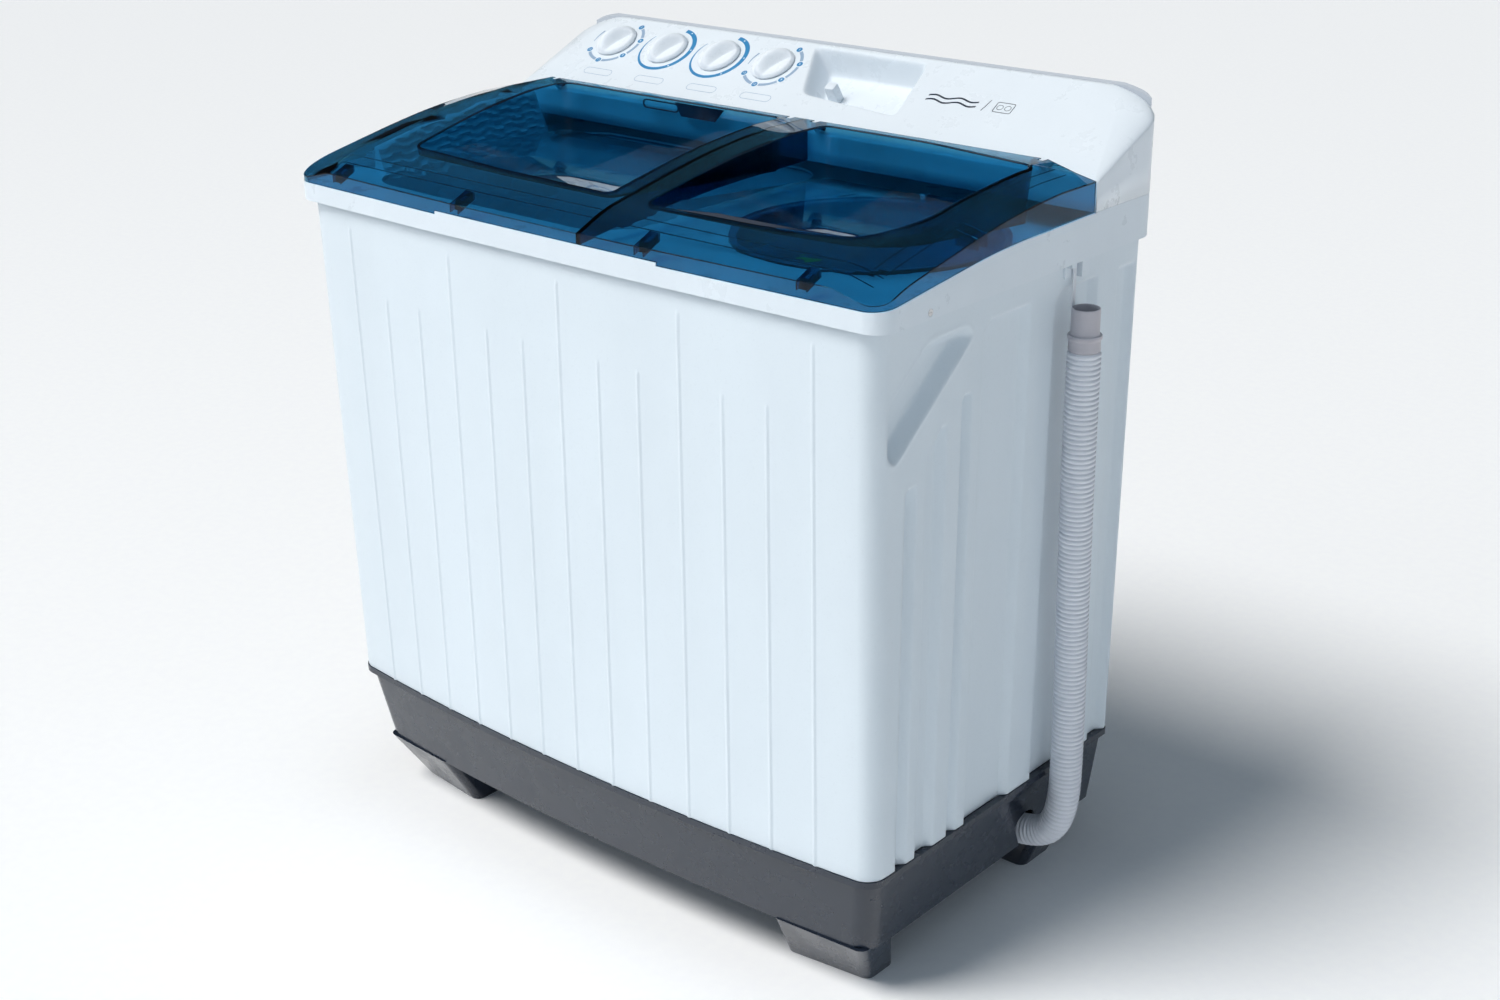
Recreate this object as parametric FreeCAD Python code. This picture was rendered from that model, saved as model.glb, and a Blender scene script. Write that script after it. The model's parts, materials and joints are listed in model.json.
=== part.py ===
"""Free-standing twin tub washer: a wash tub and a spin tub side by side in one cabinet.

Frame: origin on the floor under the middle of the machine, +Z up, front towards -Y, +X to the
right as seen by somebody standing in front. All lengths are millimetres.
"""
import FreeCAD, Part
import math
import os

# ---- overall size ----
WIDTH = 930.0
DEPTH = 541.0
HEIGHT = 1008.0
HALF_WIDTH = WIDTH / 2
FRONT = -DEPTH / 2
REAR = DEPTH / 2

# ---- heights ----
BASE_FLOOR = 70.0        # underside of the base tray, which is the height of the feet
BASE_LIP = 172.0
CABINET_BOTTOM = 180.0
CABINET_TOP = 846.0
RIM_BOTTOM = 838.0
RIM_FRONT = 860.0
DECK_BOTTOM = 855.0
DECK_TOP = 858.0
CONSOLE_BOTTOM = 889.3
CONSOLE_FRONT_TOP = 925.0
LID_TOP = 941.0

# ---- general wall thicknesses and gaps ----
WALL = 3.0
SHEET = 2.5
GAP = 0.5                # between pieces that move past each other
RUNNING = 0.05           # radial clearance of a shaft in its bore

# ---- plan shape ----
RIM_BOW = 7.0            # how far the middle of the front stands out before its corners
RIM_REAR_CORNER = 32.0
CABINET_FRONT = -263.0
CABINET_REAR = 262.0
CABINET_HALF_TOP = 451.0
CABINET_HALF_BOTTOM = 446.5
CABINET_BOW_BOTTOM = 24.0
FRONT_CORNER = 27.0
REAR_CORNER = 12.0

# ---- lids ----
LID_BACK = 129.0
LID_SEAM = 44.0
LID_WALL = 3.0
LID_FLAT_HALF = 400.0    # the lid's crown is level across to here
LID_CREASE_HALF = 437.0
LID_CREASE_DROP = 10.0
LID_EDGE_DROP = 16.0
LID_HINGE_Y = 125.5
LID_HINGE_Z = 936.0

# ---- control console ----
CONSOLE_FRONT = 129.5
CONSOLE_SPLIT = 266.0    # where the rear cover begins
CONSOLE_RISE = HEIGHT - CONSOLE_FRONT_TOP
CONSOLE_RUN = REAR - CONSOLE_FRONT
CONSOLE_SLOPE = math.atan2(CONSOLE_RISE, CONSOLE_RUN)
KNOB_UP = 107.0          # distance of the knob centres up the sloping panel
KNOB_X = {"wash_timer": -367.0, "wash_selector": -272.0, "drain_selector": -178.0, "spin_timer": -85.0}

# ---- wash side ----
WASH_X = -187.5
WASH_Y = -2.5
WASH_FLOOR = 420.0
GEARBOX_BOTTOM = 299.0
GEARBOX_TOP = 405.0
PULLEY_BOTTOM = 262.0
PULLEY_TOP = 286.0
BIG_PULLEY_RADIUS = 70.0
SMALL_PULLEY_RADIUS = 28.0
WASH_MOTOR_X = 10.0
WASH_MOTOR_Y = 110.0

# ---- spin side ----
SPIN_X = 262.0
SPIN_Y = -20.0
CASING_RADIUS = 165.0
CASING_FLOOR = 405.0
BASKET_RADIUS = 140.0
BASKET_FLOOR = 432.0
BASKET_TOP = 828.0
SPIN_SHAFT_RADIUS = 7.0
DRUM_RADIUS = 50.0
DRUM_BOTTOM = 318.0
DRUM_TOP = 344.0
INNER_LID_RADIUS = 160.0
INNER_HINGE_Y = 149.0
INNER_HINGE_Z = 865.0

# ---- drain hose, from the elbow in the base to the cuff that hangs on the rim ----
HOSE_RADIUS = 20.0
HOSE_BORE = 16.5
HOSE_ROUTE = [(409, 118, 79.5), (440, 118, 84), (463, 118, 106), (473, 118, 145), (474, 118, 200),
              (474, 116, 300), (474, 111.5, 440), (474, 107, 600), (474, 107, 735)]

UP = FreeCAD.Vector(0, 0, 1)
RIGHT = FreeCAD.Vector(1, 0, 0)
BACK = FreeCAD.Vector(0, 1, 0)
ORIGIN = FreeCAD.Vector(0, 0, 0)


# ---------------------------------------------------------------- helpers
def vec(x, y, z):
    return FreeCAD.Vector(x, y, z)


def box(x0, x1, y0, y1, z0, z1):
    return Part.makeBox(x1 - x0, y1 - y0, z1 - z0, vec(x0, y0, z0))


def cylinder(radius, start, length, axis=UP):
    return Part.makeCylinder(radius, length, start, axis)


def tube(outer, inner, start, length, axis=UP):
    return cylinder(outer, start, length, axis).cut(cylinder(inner, start, length, axis))


def face(points):
    """A flat face with straight edges through the points."""
    return Part.Face(Part.makePolygon(points + [points[0]]))


def plan_prism(points, z0, z1):
    return face([vec(x, y, z0) for x, y in points]).extrude(vec(0, 0, z1 - z0))


def side_prism(points, x0, x1):
    """Points are (y, z), and the solid runs along X."""
    return face([vec(x0, y, z) for y, z in points]).extrude(vec(x1 - x0, 0, 0))


def loft(wires):
    return Part.makeLoft(wires, True, True)


def join(shapes):
    return shapes[0].multiFuse(shapes[1:]).removeSplitter()


def mirrored(shape):
    return shape.mirror(ORIGIN, RIGHT)


def save(name, shape):
    shape.exportStep(os.path.join("parts", name + ".step"))


def rounded_wire(points, radius, place):
    """A closed wire with rounded corners; place turns a flat (u, v) point into a vector.

    radius is one number, or one for each corner.
    """
    count = len(points)
    radii = radius if isinstance(radius, list) else [radius] * count
    edges = []
    last = None
    first = None
    for index in range(count):
        before, corner, after = points[index - 1], points[index], points[(index + 1) % count]
        into = FreeCAD.Vector(before[0] - corner[0], before[1] - corner[1], 0).normalize()
        out = FreeCAD.Vector(after[0] - corner[0], after[1] - corner[1], 0).normalize()
        half = into.getAngle(out) / 2
        bend = radii[index]
        back_off = bend / math.tan(half)
        start = (corner[0] + into.x * back_off, corner[1] + into.y * back_off)
        end = (corner[0] + out.x * back_off, corner[1] + out.y * back_off)
        middle_way = (into + out).normalize() * (bend / math.sin(half) - bend)
        middle = (corner[0] + middle_way.x, corner[1] + middle_way.y)
        if last is not None:
            edges.append(Part.LineSegment(place(*last), place(*start)).toShape())
        else:
            first = start
        edges.append(Part.Arc(place(*start), place(*middle), place(*end)).toShape())
        last = end
    edges.append(Part.LineSegment(place(*last), place(*first)).toShape())
    return Part.Wire(edges)


def level(z):
    """Places flat points on the horizontal plane at height z."""
    return lambda x, y: vec(x, y, z)


def grown(points, distance):
    """The same convex outline with each side moved outwards, or inwards if distance is negative."""
    area = sum(a[0] * b[1] - b[0] * a[1] for a, b in zip(points, points[1:] + points[:1]))
    turn = 1 if area > 0 else -1
    lines = []
    for a, b in zip(points, points[1:] + points[:1]):
        length = math.hypot(b[0] - a[0], b[1] - a[1])
        normal = ((b[1] - a[1]) * turn / length, (a[0] - b[0]) * turn / length)
        lines.append((normal, normal[0] * a[0] + normal[1] * a[1] + distance))
    result = []
    for (n1, d1), (n2, d2) in zip(lines[-1:] + lines[:-1], lines):
        cross = n1[0] * n2[1] - n1[1] * n2[0]
        result.append(((d1 * n2[1] - d2 * n1[1]) / cross, (n1[0] * d2 - n2[0] * d1) / cross))
    return result


def bowed_wire(half_width, front, rear, bow, corner, rear_corner, z):
    """A plan outline whose front edge is one shallow arc, tangent to rounded corners."""
    radius = (half_width ** 2 + bow ** 2) / (2 * bow)
    centre_y = front + radius
    corner_x = half_width - corner
    corner_y = centre_y - math.sqrt((radius - corner) ** 2 - corner_x ** 2)
    reach = math.hypot(corner_x, corner_y - centre_y)
    touch = (corner_x * radius / reach, centre_y + (corner_y - centre_y) * radius / reach)
    angle = math.atan2(touch[1] - corner_y, touch[0] - corner_x) / 2
    middle = (corner_x + corner * math.cos(angle), corner_y + corner * math.sin(angle))
    rear_y = rear - rear_corner
    rear_x = half_width - rear_corner
    diagonal = rear_corner * math.sqrt(0.5)
    at = level(z)
    edges = [
        Part.Arc(at(-touch[0], touch[1]), at(0, front), at(*touch)),
        Part.Arc(at(*touch), at(*middle), at(half_width, corner_y)),
        Part.LineSegment(at(half_width, corner_y), at(half_width, rear_y)),
        Part.Arc(at(half_width, rear_y), at(rear_x + diagonal, rear_y + diagonal), at(rear_x, rear)),
        Part.LineSegment(at(rear_x, rear), at(-rear_x, rear)),
        Part.Arc(at(-rear_x, rear), at(-rear_x - diagonal, rear_y + diagonal), at(-half_width, rear_y)),
        Part.LineSegment(at(-half_width, rear_y), at(-half_width, corner_y)),
        Part.Arc(at(-half_width, corner_y), at(-middle[0], middle[1]), at(-touch[0], touch[1])),
    ]
    return Part.Wire([edge.toShape() for edge in edges])


def rounded_path(points):
    """Straight runs joined by tangent arcs, each as large as its two runs allow."""
    places = [vec(*point) for point in points]
    edges = []
    radii = []
    start = places[0]
    for before, corner, after in zip(places, places[1:], places[2:]):
        shorter = min((corner - before).Length, (after - corner).Length)
        into = (before - corner).normalize()
        out = (after - corner).normalize()
        half_turn = (math.pi - into.getAngle(out)) / 2
        back_off = 0.45 * shorter
        radius = back_off / math.tan(half_turn)
        radii.append(radius)
        arc_start = corner + into * back_off
        arc_end = corner + out * back_off
        sagitta = radius / math.cos(half_turn) - radius
        arc_middle = corner + (into + out).normalize() * sagitta
        edges.append(Part.LineSegment(start, arc_start).toShape())
        edges.append(Part.Arc(arc_start, arc_middle, arc_end).toShape())
        start = arc_end
    edges.append(Part.LineSegment(start, places[-1]).toShape())
    return Part.Wire(edges), radii


def pipe(points, outer, inner):
    """A round tube along a route, and the radii of its bends."""
    path, radii = rounded_path(points)
    start = vec(*points[0])
    direction = vec(*points[1]) - start

    def swept(radius):
        ring = Part.Wire([Part.makeCircle(radius, start, direction)])
        return path.makePipeShell([ring], True, False)

    return swept(outer).cut(swept(inner)), radii, path.Length


# ---------------------------------------------------------------- base
def base():
    """A tapered tray with four moulded feet, a lip for the cabinet and a notch for the hose."""
    bottom_half, top_half = 425.0, 442.0
    outer = loft([bowed_wire(bottom_half, -238, 262, 20, FRONT_CORNER, REAR_CORNER, BASE_FLOOR),
                  bowed_wire(top_half, -258, 260, 22, FRONT_CORNER, REAR_CORNER, CABINET_BOTTOM)])
    inner = loft([bowed_wire(bottom_half - WALL, -238 + WALL, 259, 20, FRONT_CORNER - WALL,
                             REAR_CORNER - WALL, BASE_FLOOR + WALL),
                  bowed_wire(top_half - WALL, -258 + WALL, 257, 22, FRONT_CORNER - WALL,
                             REAR_CORNER - WALL, CABINET_BOTTOM + 1)])
    recess_depth = 12.0
    lean = [(46, 158), (100, 60), (190, 60), (190, 158)]
    recess = side_prism(lean, 400, 470).common(hose_recess_space(bottom_half, top_half, recess_depth))
    recess_skin = side_prism(grown(lean, WALL), 400, 470).common(
        hose_recess_space(bottom_half, top_half, recess_depth + WALL))
    shell = outer.cut(recess).cut(inner.cut(recess_skin))
    lip = loft([bowed_wire(CABINET_HALF_BOTTOM + 1, CABINET_FRONT - 1, CABINET_REAR, CABINET_BOW_BOTTOM,
                           FRONT_CORNER, REAR_CORNER, z) for z in (BASE_LIP, CABINET_BOTTOM)])
    lip_hole = loft([bowed_wire(top_half - WALL, -258 + WALL, 257, 22, FRONT_CORNER - WALL,
                                REAR_CORNER - WALL, z) for z in (BASE_LIP - 1, CABINET_BOTTOM + 1)])
    corners = [(side, end) for side in (1, -1) for end in (1, -1)]
    solids = [shell, lip.cut(lip_hole)] + [foot(*corner, False) for corner in corners]
    spaces = [foot(*corner, True) for corner in corners]
    hose_slot = box(350, 470, 95, 141, BASE_FLOOR - 1, BASE_FLOOR + 8)
    hose_hole = cylinder(HOSE_RADIUS + 3, vec(380, 118, 84), 90, RIGHT)
    return join(solids).cut(Part.makeCompound(spaces)).cut(hose_slot).cut(hose_hole)


def hose_recess_space(bottom_half, top_half, depth):
    """A slab that follows the leaning right-hand wall of the base to the given depth."""
    points = [vec(bottom_half - depth, 0, BASE_FLOOR - 5), vec(bottom_half + 40, 0, BASE_FLOOR - 5),
              vec(top_half + 40, 0, CABINET_BOTTOM), vec(top_half - depth, 0, CABINET_BOTTOM)]
    return face(points).extrude(vec(0, 300, 0))


def foot(side, end, hollow):
    """A tapered foot at one corner, flush with the tray above and drawn in at the floor.

    With hollow set it is the space inside the foot, which opens into the tray.
    """
    if end < 0:
        top = [(288, -160), (421, -160), (421, -222), (288, -231)]
        floor = [(278, -126), (397, -126), (397, -178), (278, -192)]
    else:
        top = [(288, 170), (421, 170), (421, 256), (288, 256)]
        floor = [(278, 150), (397, 150), (397, 216), (278, 216)]
    corner = 12.0

    def at(points, z, inset):
        points = [(side * x, y) for x, y in grown(points, -inset)]
        return rounded_wire(points, corner, level(z))

    if hollow:
        return loft([at(floor, WALL, WALL), at(top, BASE_FLOOR + WALL + 1, WALL)])
    return loft([at(floor, 0, 0), at(top, BASE_FLOOR + 1, 0)])


# ---------------------------------------------------------------- cabinet
SIDE_CHANNELS = [   # front edge, rear edge, top, slope of the top's front corner
    (-197, -176, 650, 6), (-160, -124, 704, 26), (-98, -79, 730, 6),
    (-62, 30, 805, 14), (78, 168, 806, 14), (210, 250, 805, 4)]
CHANNEL_DEPTH = 8.0
GRIP_OUTER = [(-92, 807), (-162, 807), (-230, 752), (-230, 692), (-218, 684), (-82, 795)]
GRIP_DEPTH = 16.0


def side_x(z):
    """Half width of the cabinet at height z."""
    share = (z - CABINET_BOTTOM) / (CABINET_TOP - CABINET_BOTTOM)
    return CABINET_HALF_BOTTOM + share * (CABINET_HALF_TOP - CABINET_HALF_BOTTOM)


def channel(front, rear, top, slant, extra):
    """The space of one upright channel pressed into the side; its rear wall is splayed."""
    depth = CHANNEL_DEPTH + extra
    bottom = CABINET_BOTTOM - 2
    outline = [(front - extra, bottom), (rear + extra, bottom), (rear + extra, top + extra),
               (front + slant - extra, top + extra), (front - extra, top - slant + extra)]
    splay = min(10.0, (rear - front) * 0.4)
    floor = [(y + 2 if y < (front + rear) / 2 else y - splay, z if z == bottom else z - 3)
             for y, z in outline]
    lean = side_x(top) - side_x(bottom)
    height = top - bottom

    def wall(points, inwards):
        return Part.makePolygon([vec(side_x(bottom) + lean * (z - bottom) / height - inwards, y, z)
                                 for y, z in points + points[:1]])

    return loft([wall(outline, -4), wall(floor, depth)])


def grip(extra):
    """The space of the slanting hand grip below the rim."""
    outer = grown(GRIP_OUTER, extra)
    inner = grown(GRIP_OUTER, extra - 12)
    middle_x = side_x(750)

    def wall(points, inwards):
        return Part.makePolygon([vec(middle_x - inwards, y, z) for y, z in points + points[:1]])

    return loft([wall(outer, -6), wall(inner, GRIP_DEPTH + extra)])


def side_features(extra):
    spaces = [channel(*row, extra) for row in SIDE_CHANNELS] + [grip(extra)]
    return spaces + [mirrored(space) for space in spaces]


def front_rib(x, top):
    """One fine upright bead on the bowed front."""
    half = 3.0
    proud = 1.3

    def section(z):
        share = (z - CABINET_BOTTOM) / (CABINET_TOP - CABINET_BOTTOM)
        bow = CABINET_BOW_BOTTOM + share * (RIM_BOW - CABINET_BOW_BOTTOM)
        across = x * (1 + 0.01 * share)
        y = CABINET_FRONT + bow * (across / side_x(z)) ** 2
        return Part.makePolygon([vec(across - half, y + 0.6, z), vec(across - 1, y - proud, z),
                                 vec(across + 1, y - proud, z), vec(across + half, y + 0.6, z),
                                 vec(across - half, y + 0.6, z)])

    return loft([section(CABINET_BOTTOM), section(top)])


def cabinet():
    """One folded skin, open at the top and bottom, with pressed channels and grips."""
    def skin(inset, bottom, top):
        wires = []
        for z in (bottom, top):
            bow = CABINET_BOW_BOTTOM if z < 500 else RIM_BOW
            half = CABINET_HALF_BOTTOM if z < 500 else CABINET_HALF_TOP
            wires.append(bowed_wire(half - inset, CABINET_FRONT + inset, CABINET_REAR - inset, bow,
                                    FRONT_CORNER - inset, REAR_CORNER - inset, z))
        return loft(wires)

    outer = skin(0, CABINET_BOTTOM, CABINET_TOP).cut(Part.makeCompound(side_features(0)))
    inner = skin(SHEET, CABINET_BOTTOM - 1, CABINET_TOP + 1).cut(Part.makeCompound(side_features(SHEET)))
    shell = outer.cut(inner)
    service_hole = box(-190, 190, 240, 300, 230, 640)
    gland_hole = cylinder(9, vec(-320, 250, 300), 30, BACK)
    ribs = []
    pitch = 61.4
    for index in range(13):
        long_rib = index % 3 == 0
        ribs.append(front_rib((index - 6) * pitch, 814 if long_rib else 733))
    return join([shell.cut(service_hole).cut(gland_hole)] + ribs)


def back_cover():
    """The service panel over the hole in the cabinet's back, with ventilation slots."""
    plate = box(-205, 205, CABINET_REAR, CABINET_REAR + 2, 215, 655)
    slots = [box(-120, 120, CABINET_REAR - 1, CABINET_REAR + 3, z, z + 5) for z in range(260, 380, 16)]
    holes = [cylinder(2.2, vec(x, CABINET_REAR - 1, z), 4, BACK) for x, z in COVER_SCREWS]
    return plate.cut(Part.makeCompound(slots + holes))


COVER_SCREWS = [(x, z) for x in (-197, 197) for z in (225, 435, 645)]


def back_cover_screws():
    screws = []
    for x, z in COVER_SCREWS:
        head = cylinder(4, vec(x, CABINET_REAR + 2, z), 2.2, BACK)
        screws.append(head.fuse(cylinder(2.1, vec(x, CABINET_REAR, z), 2.5, BACK)))
    return Part.makeCompound(screws)


def cable_gland():
    """The empty bush where the mains lead leaves the back."""
    start = vec(-320, CABINET_REAR - 6, 300)
    body = cylinder(8.9, start, 6, BACK).fuse(cylinder(12, start + vec(0, 6, 0), 7, BACK))
    return body.cut(cylinder(4.5, start - vec(0, 1, 0), 20, BACK))


# ---------------------------------------------------------------- top frame
RIM_PROFILE = [(-300, 857), (-240, 863.5), (-150, 874.5), (-58, 884), (30, 887.5), (132, 889)]
NOTCH_LEFT, NOTCH_RIGHT, NOTCH_RISE = -195.0, 163.0, 4.0


def above_rim(rise):
    """Everything above the rim's top edge, moved up by rise."""
    curve = Part.BSplineCurve()
    curve.interpolate([vec(-600, y, z + rise) for y, z in RIM_PROFILE])
    first, last = RIM_PROFILE[0], RIM_PROFILE[-1]
    corners = [vec(-600, last[0], last[1] + rise), vec(-600, 400, last[1] + rise), vec(-600, 400, 1200),
               vec(-600, first[0], 1200), vec(-600, first[0], first[1] + rise)]
    lines = [Part.LineSegment(a, b).toShape() for a, b in zip(corners, corners[1:])]
    return Part.Face(Part.Wire([curve.toShape()] + lines)).extrude(vec(1200, 0, 0))


def rim_outline(inset, z):
    return bowed_wire(HALF_WIDTH - inset, FRONT + inset, REAR - inset, RIM_BOW, FRONT_CORNER - inset,
                      RIM_REAR_CORNER - inset, z)


def wash_opening(inset, z):
    points = [(-405 + inset, -205 + inset), (30 - inset, -205 + inset), (30 - inset, 200 - inset),
              (-405 + inset, 200 - inset)]
    return rounded_wire(points, 60 - inset, level(z))


def top_frame():
    """The white moulded frame: a skirt that hangs over the cabinet and a deck round both tubs."""
    outer = loft([rim_outline(0, RIM_BOTTOM), rim_outline(0, 900)])
    inner = loft([rim_outline(WALL, RIM_BOTTOM - 1), rim_outline(WALL, 901)])
    raised = box(NOTCH_LEFT, NOTCH_RIGHT, FRONT - 5, -200, 800, 950)
    cut_away = above_rim(0).cut(raised).fuse(above_rim(NOTCH_RISE).common(raised))
    skirt = outer.cut(inner).cut(cut_away)
    deck = loft([rim_outline(WALL - 0.5, DECK_BOTTOM), rim_outline(WALL - 0.5, DECK_TOP)])
    wash_hole = loft([wash_opening(0, DECK_BOTTOM - 1), wash_opening(0, DECK_TOP + 1)])
    spin_hole = cylinder(152, vec(SPIN_X, SPIN_Y, DECK_BOTTOM - 1), 10)
    ledge = loft([rim_outline(WALL - 0.5, CABINET_TOP), rim_outline(WALL - 0.5, CABINET_TOP + WALL)])
    ledge_hole = loft([rim_outline(26, CABINET_TOP - 1), rim_outline(26, CABINET_TOP + 5)])
    slits = []
    for index in range(8):
        x = 118 + index * 20
        slits.append(plan_prism([(x, 98), (x + 6, 98), (x + 14, 126), (x + 8, 126)],
                                DECK_BOTTOM - 1, DECK_TOP + 1))
    strap_slot = box(-176, -158, 230, 242, DECK_BOTTOM - 1, DECK_TOP + 1)
    plate = deck.cut(Part.makeCompound([wash_hole, spin_hole, strap_slot] + slits))
    lugs = []
    for x in (SPIN_X - 50, SPIN_X + 42):
        lug = side_prism([(INNER_HINGE_Y - 6, DECK_TOP - 0.5), (INNER_HINGE_Y + 6, DECK_TOP - 0.5),
                          (INNER_HINGE_Y + 6, INNER_HINGE_Z + 5), (INNER_HINGE_Y - 6, INNER_HINGE_Z + 5)],
                         x, x + 8)
        lugs.append(lug.cut(cylinder(3 + RUNNING, vec(x - 1, INNER_HINGE_Y, INNER_HINGE_Z), 10, RIGHT)))
    screw_seats = [cylinder(4.3, vec(side * (HALF_WIDTH - 1.6), SCREW_Y, SCREW_Z), 5, RIGHT * side)
                   for side in (1, -1)]
    frame = join([skirt, plate, ledge.cut(ledge_hole)] + lugs)
    return frame.cut(Part.makeCompound(screw_seats))


SCREW_Y, SCREW_Z = -180.0, 845.5


def top_frame_screws():
    """One cross-head screw low on each side of the frame."""
    screws = []
    for side in (1, -1):
        start = vec(side * (HALF_WIDTH - 1.6), SCREW_Y, SCREW_Z)
        head = cylinder(3.8, start, 1.5, RIGHT * side)
        slot = box(-0.6, 0.6, SCREW_Y - 2.4, SCREW_Y + 2.4, SCREW_Z - 0.4, SCREW_Z + 0.4)
        slot.translate(vec(side * (HALF_WIDTH - 0.5), 0, 0))
        screws.append(head.cut(slot))
    return Part.makeCompound(screws)


# ---------------------------------------------------------------- lids
def lid_crown(drop, front):
    """The lids' top surface as a solid: one profile carried across, then down to the two edges."""
    crease = vec(0, -249.5, 886 - drop)
    curve = Part.BSplineCurve()
    rising = [(-227.5, 895), (-190.5, 904), (-109.5, 920), (-43.5, 931), (25.5, 938.5), (62, LID_TOP)]
    curve.interpolate([crease] + [vec(0, y, z - drop) for y, z in rising])
    flat_end = vec(0, 62, LID_TOP - drop)
    corners = [flat_end, vec(0, 160, LID_TOP - drop), vec(0, 160, 830), vec(0, front, 830),
               vec(0, front, 873 - drop), crease]
    lines = [Part.LineSegment(a, b).toShape() for a, b in zip(corners, corners[1:])]
    profile = Part.Face(Part.Wire([curve.toShape()] + lines))
    steps = [(LID_FLAT_HALF, LID_CREASE_HALF, LID_CREASE_DROP),
             (LID_CREASE_HALF, HALF_WIDTH + 5, (LID_EDGE_DROP - LID_CREASE_DROP) * 33 / 28)]
    solids = [profile.translated(vec(-LID_FLAT_HALF, 0, 0)).extrude(vec(2 * LID_FLAT_HALF, 0, 0))]
    fallen = 0.0
    for near, far, fall in steps:
        for side in (1, -1):
            start = profile.translated(vec(side * near, 0, -fallen))
            solids.append(start.extrude(vec(side * (far - near), 0, -fall)))
        fallen += fall
    return join(solids)


WASH_RECESS = [((-369, 119), 24), ((20, 121), 16), ((24, -196), 16), ((-161, -192), 300), ((-338, -181), 24)]
SPIN_RECESS = [((84, 119), 16), ((240, 121), 200), ((408, 96), 22), ((408, -120), 110), ((372, -181), 60),
               ((258, -197), 400), ((75, -203), 20)]


def recess_space(corners, extra):
    """The scooped hollow in a lid: drafted walls down to a floor that slopes to the back."""
    points = [point for point, _ in corners]
    draft = 10
    top = rounded_wire(grown(points, extra), [radius + extra for _, radius in corners], level(960))
    floor = rounded_wire(grown(points, extra - draft), [radius + extra - draft for _, radius in corners],
                         level(860))
    below = extra
    wedge = side_prism([(-215, 901 - below), (130, 876 - below), (130, 970), (-215, 970)], -500, 500)
    return loft([top, floor]).common(wedge)


GUSSETS = {"wash": [-382.0, -162.0], "spin": [136.0, 362.0]}
# where each knuckle stands, and the side of it (+1 right, -1 left) the lid's eye is on
KNUCKLES = {"wash": [(-390.0, 1), (24.0, -1)], "spin": [(64.0, 1), (395.0, -1)]}
KNUCKLE_HALF = 4.0
EYE_LENGTH = 9.0
PIN_RADIUS = 2.0


def lid(which):
    """A clear lid: thin crown and skirt, scooped recess, gussets and two hinge eyes."""
    if which == "wash":
        left, right, recess = -HALF_WIDTH, LID_SEAM - GAP, WASH_RECESS
    else:
        left, right, recess = LID_SEAM + GAP, HALF_WIDTH, SPIN_RECESS
    inside_edges = (left + (0 if which == "wash" else LID_WALL), right - (LID_WALL if which == "wash" else 0))

    def column(inset, x0, x1, back):
        outline = loft([rim_outline(inset, z) for z in (800, 1000)])
        return outline.common(box(x0, x1, FRONT - 1, back, 800, 1000))

    outer = lid_crown(0, FRONT - 10).common(column(0.5, left, right, LID_BACK))
    inner = lid_crown(LID_WALL, FRONT - 10).common(column(0.5 + LID_WALL, *inside_edges, LID_BACK + 5))
    space = recess_space(recess, 0)
    recess_skin = recess_space(recess, LID_WALL).common(outer)
    raised = box(NOTCH_LEFT - GAP, NOTCH_RIGHT + GAP, FRONT - 5, -200, 800, 950)
    keep = above_rim(GAP).cut(raised).fuse(above_rim(NOTCH_RISE + GAP).common(raised))
    shell = outer.cut(inner).common(keep).fuse(recess_skin).cut(space)
    plates = []
    for x in GUSSETS[which]:
        for offset in (-7.5, 6.0):
            plates.append(side_prism([(-268, 866), (-240, 878), (-240, 900), (-268, 880)],
                                     x + offset, x + offset + 1.5))
    if which == "spin":
        for y in (-97.0, -81.0):
            plates.append(box(434, 463, y, y + 1.5, 893, 925))
    ribs = Part.makeCompound(plates).common(outer)
    eyes, notches = [], []
    for x, side in KNUCKLES[which]:
        start = vec(x + side * (KNUCKLE_HALF + GAP), LID_HINGE_Y, LID_HINGE_Z)
        eyes.append(cylinder(5, start, EYE_LENGTH, RIGHT * side))
        notches.append(box(x - KNUCKLE_HALF - GAP, x + KNUCKLE_HALF + GAP, LID_HINGE_Y - 6.5, 140, 850, 960))
        notches.append(cylinder(PIN_RADIUS + RUNNING, vec(x - 20, LID_HINGE_Y, LID_HINGE_Z), 40, RIGHT))
    whole = shell.multiFuse([ribs] + eyes).cut(Part.makeCompound(notches))
    return largest(whole)


def largest(shape):
    return max(shape.Solids, key=lambda solid: solid.Volume)


def lid_hinge_pins():
    pins = []
    for x, side in KNUCKLES["wash"] + KNUCKLES["spin"]:
        start = vec(x - side * KNUCKLE_HALF, LID_HINGE_Y, LID_HINGE_Z)
        pins.append(cylinder(PIN_RADIUS, start, 2 * KNUCKLE_HALF + EYE_LENGTH - 1, RIGHT * side))
    return Part.makeCompound(pins)


def spin_inner_lid():
    """The small safety lid that lies over the spin tub's mouth."""
    disc = cylinder(INNER_LID_RADIUS, vec(SPIN_X, SPIN_Y, DECK_TOP + 0.6), 2.5)
    rim = tube(INNER_LID_RADIUS, INNER_LID_RADIUS - 8, vec(SPIN_X, SPIN_Y, DECK_TOP + 0.6), 4.5)
    grip_rib = tube(46, 40, vec(SPIN_X, SPIN_Y, DECK_TOP + 2), 4)
    tongue = box(SPIN_X - 40, SPIN_X + 40, SPIN_Y + 130, INNER_HINGE_Y, DECK_TOP + 2, DECK_TOP + 5)
    barrel = cylinder(4, vec(SPIN_X - 41, INNER_HINGE_Y, INNER_HINGE_Z), 82, RIGHT)
    stubs = cylinder(3, vec(SPIN_X - 50, INNER_HINGE_Y, INNER_HINGE_Z), 100, RIGHT)
    return join([disc, rim, grip_rib, tongue, barrel, stubs])


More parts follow.
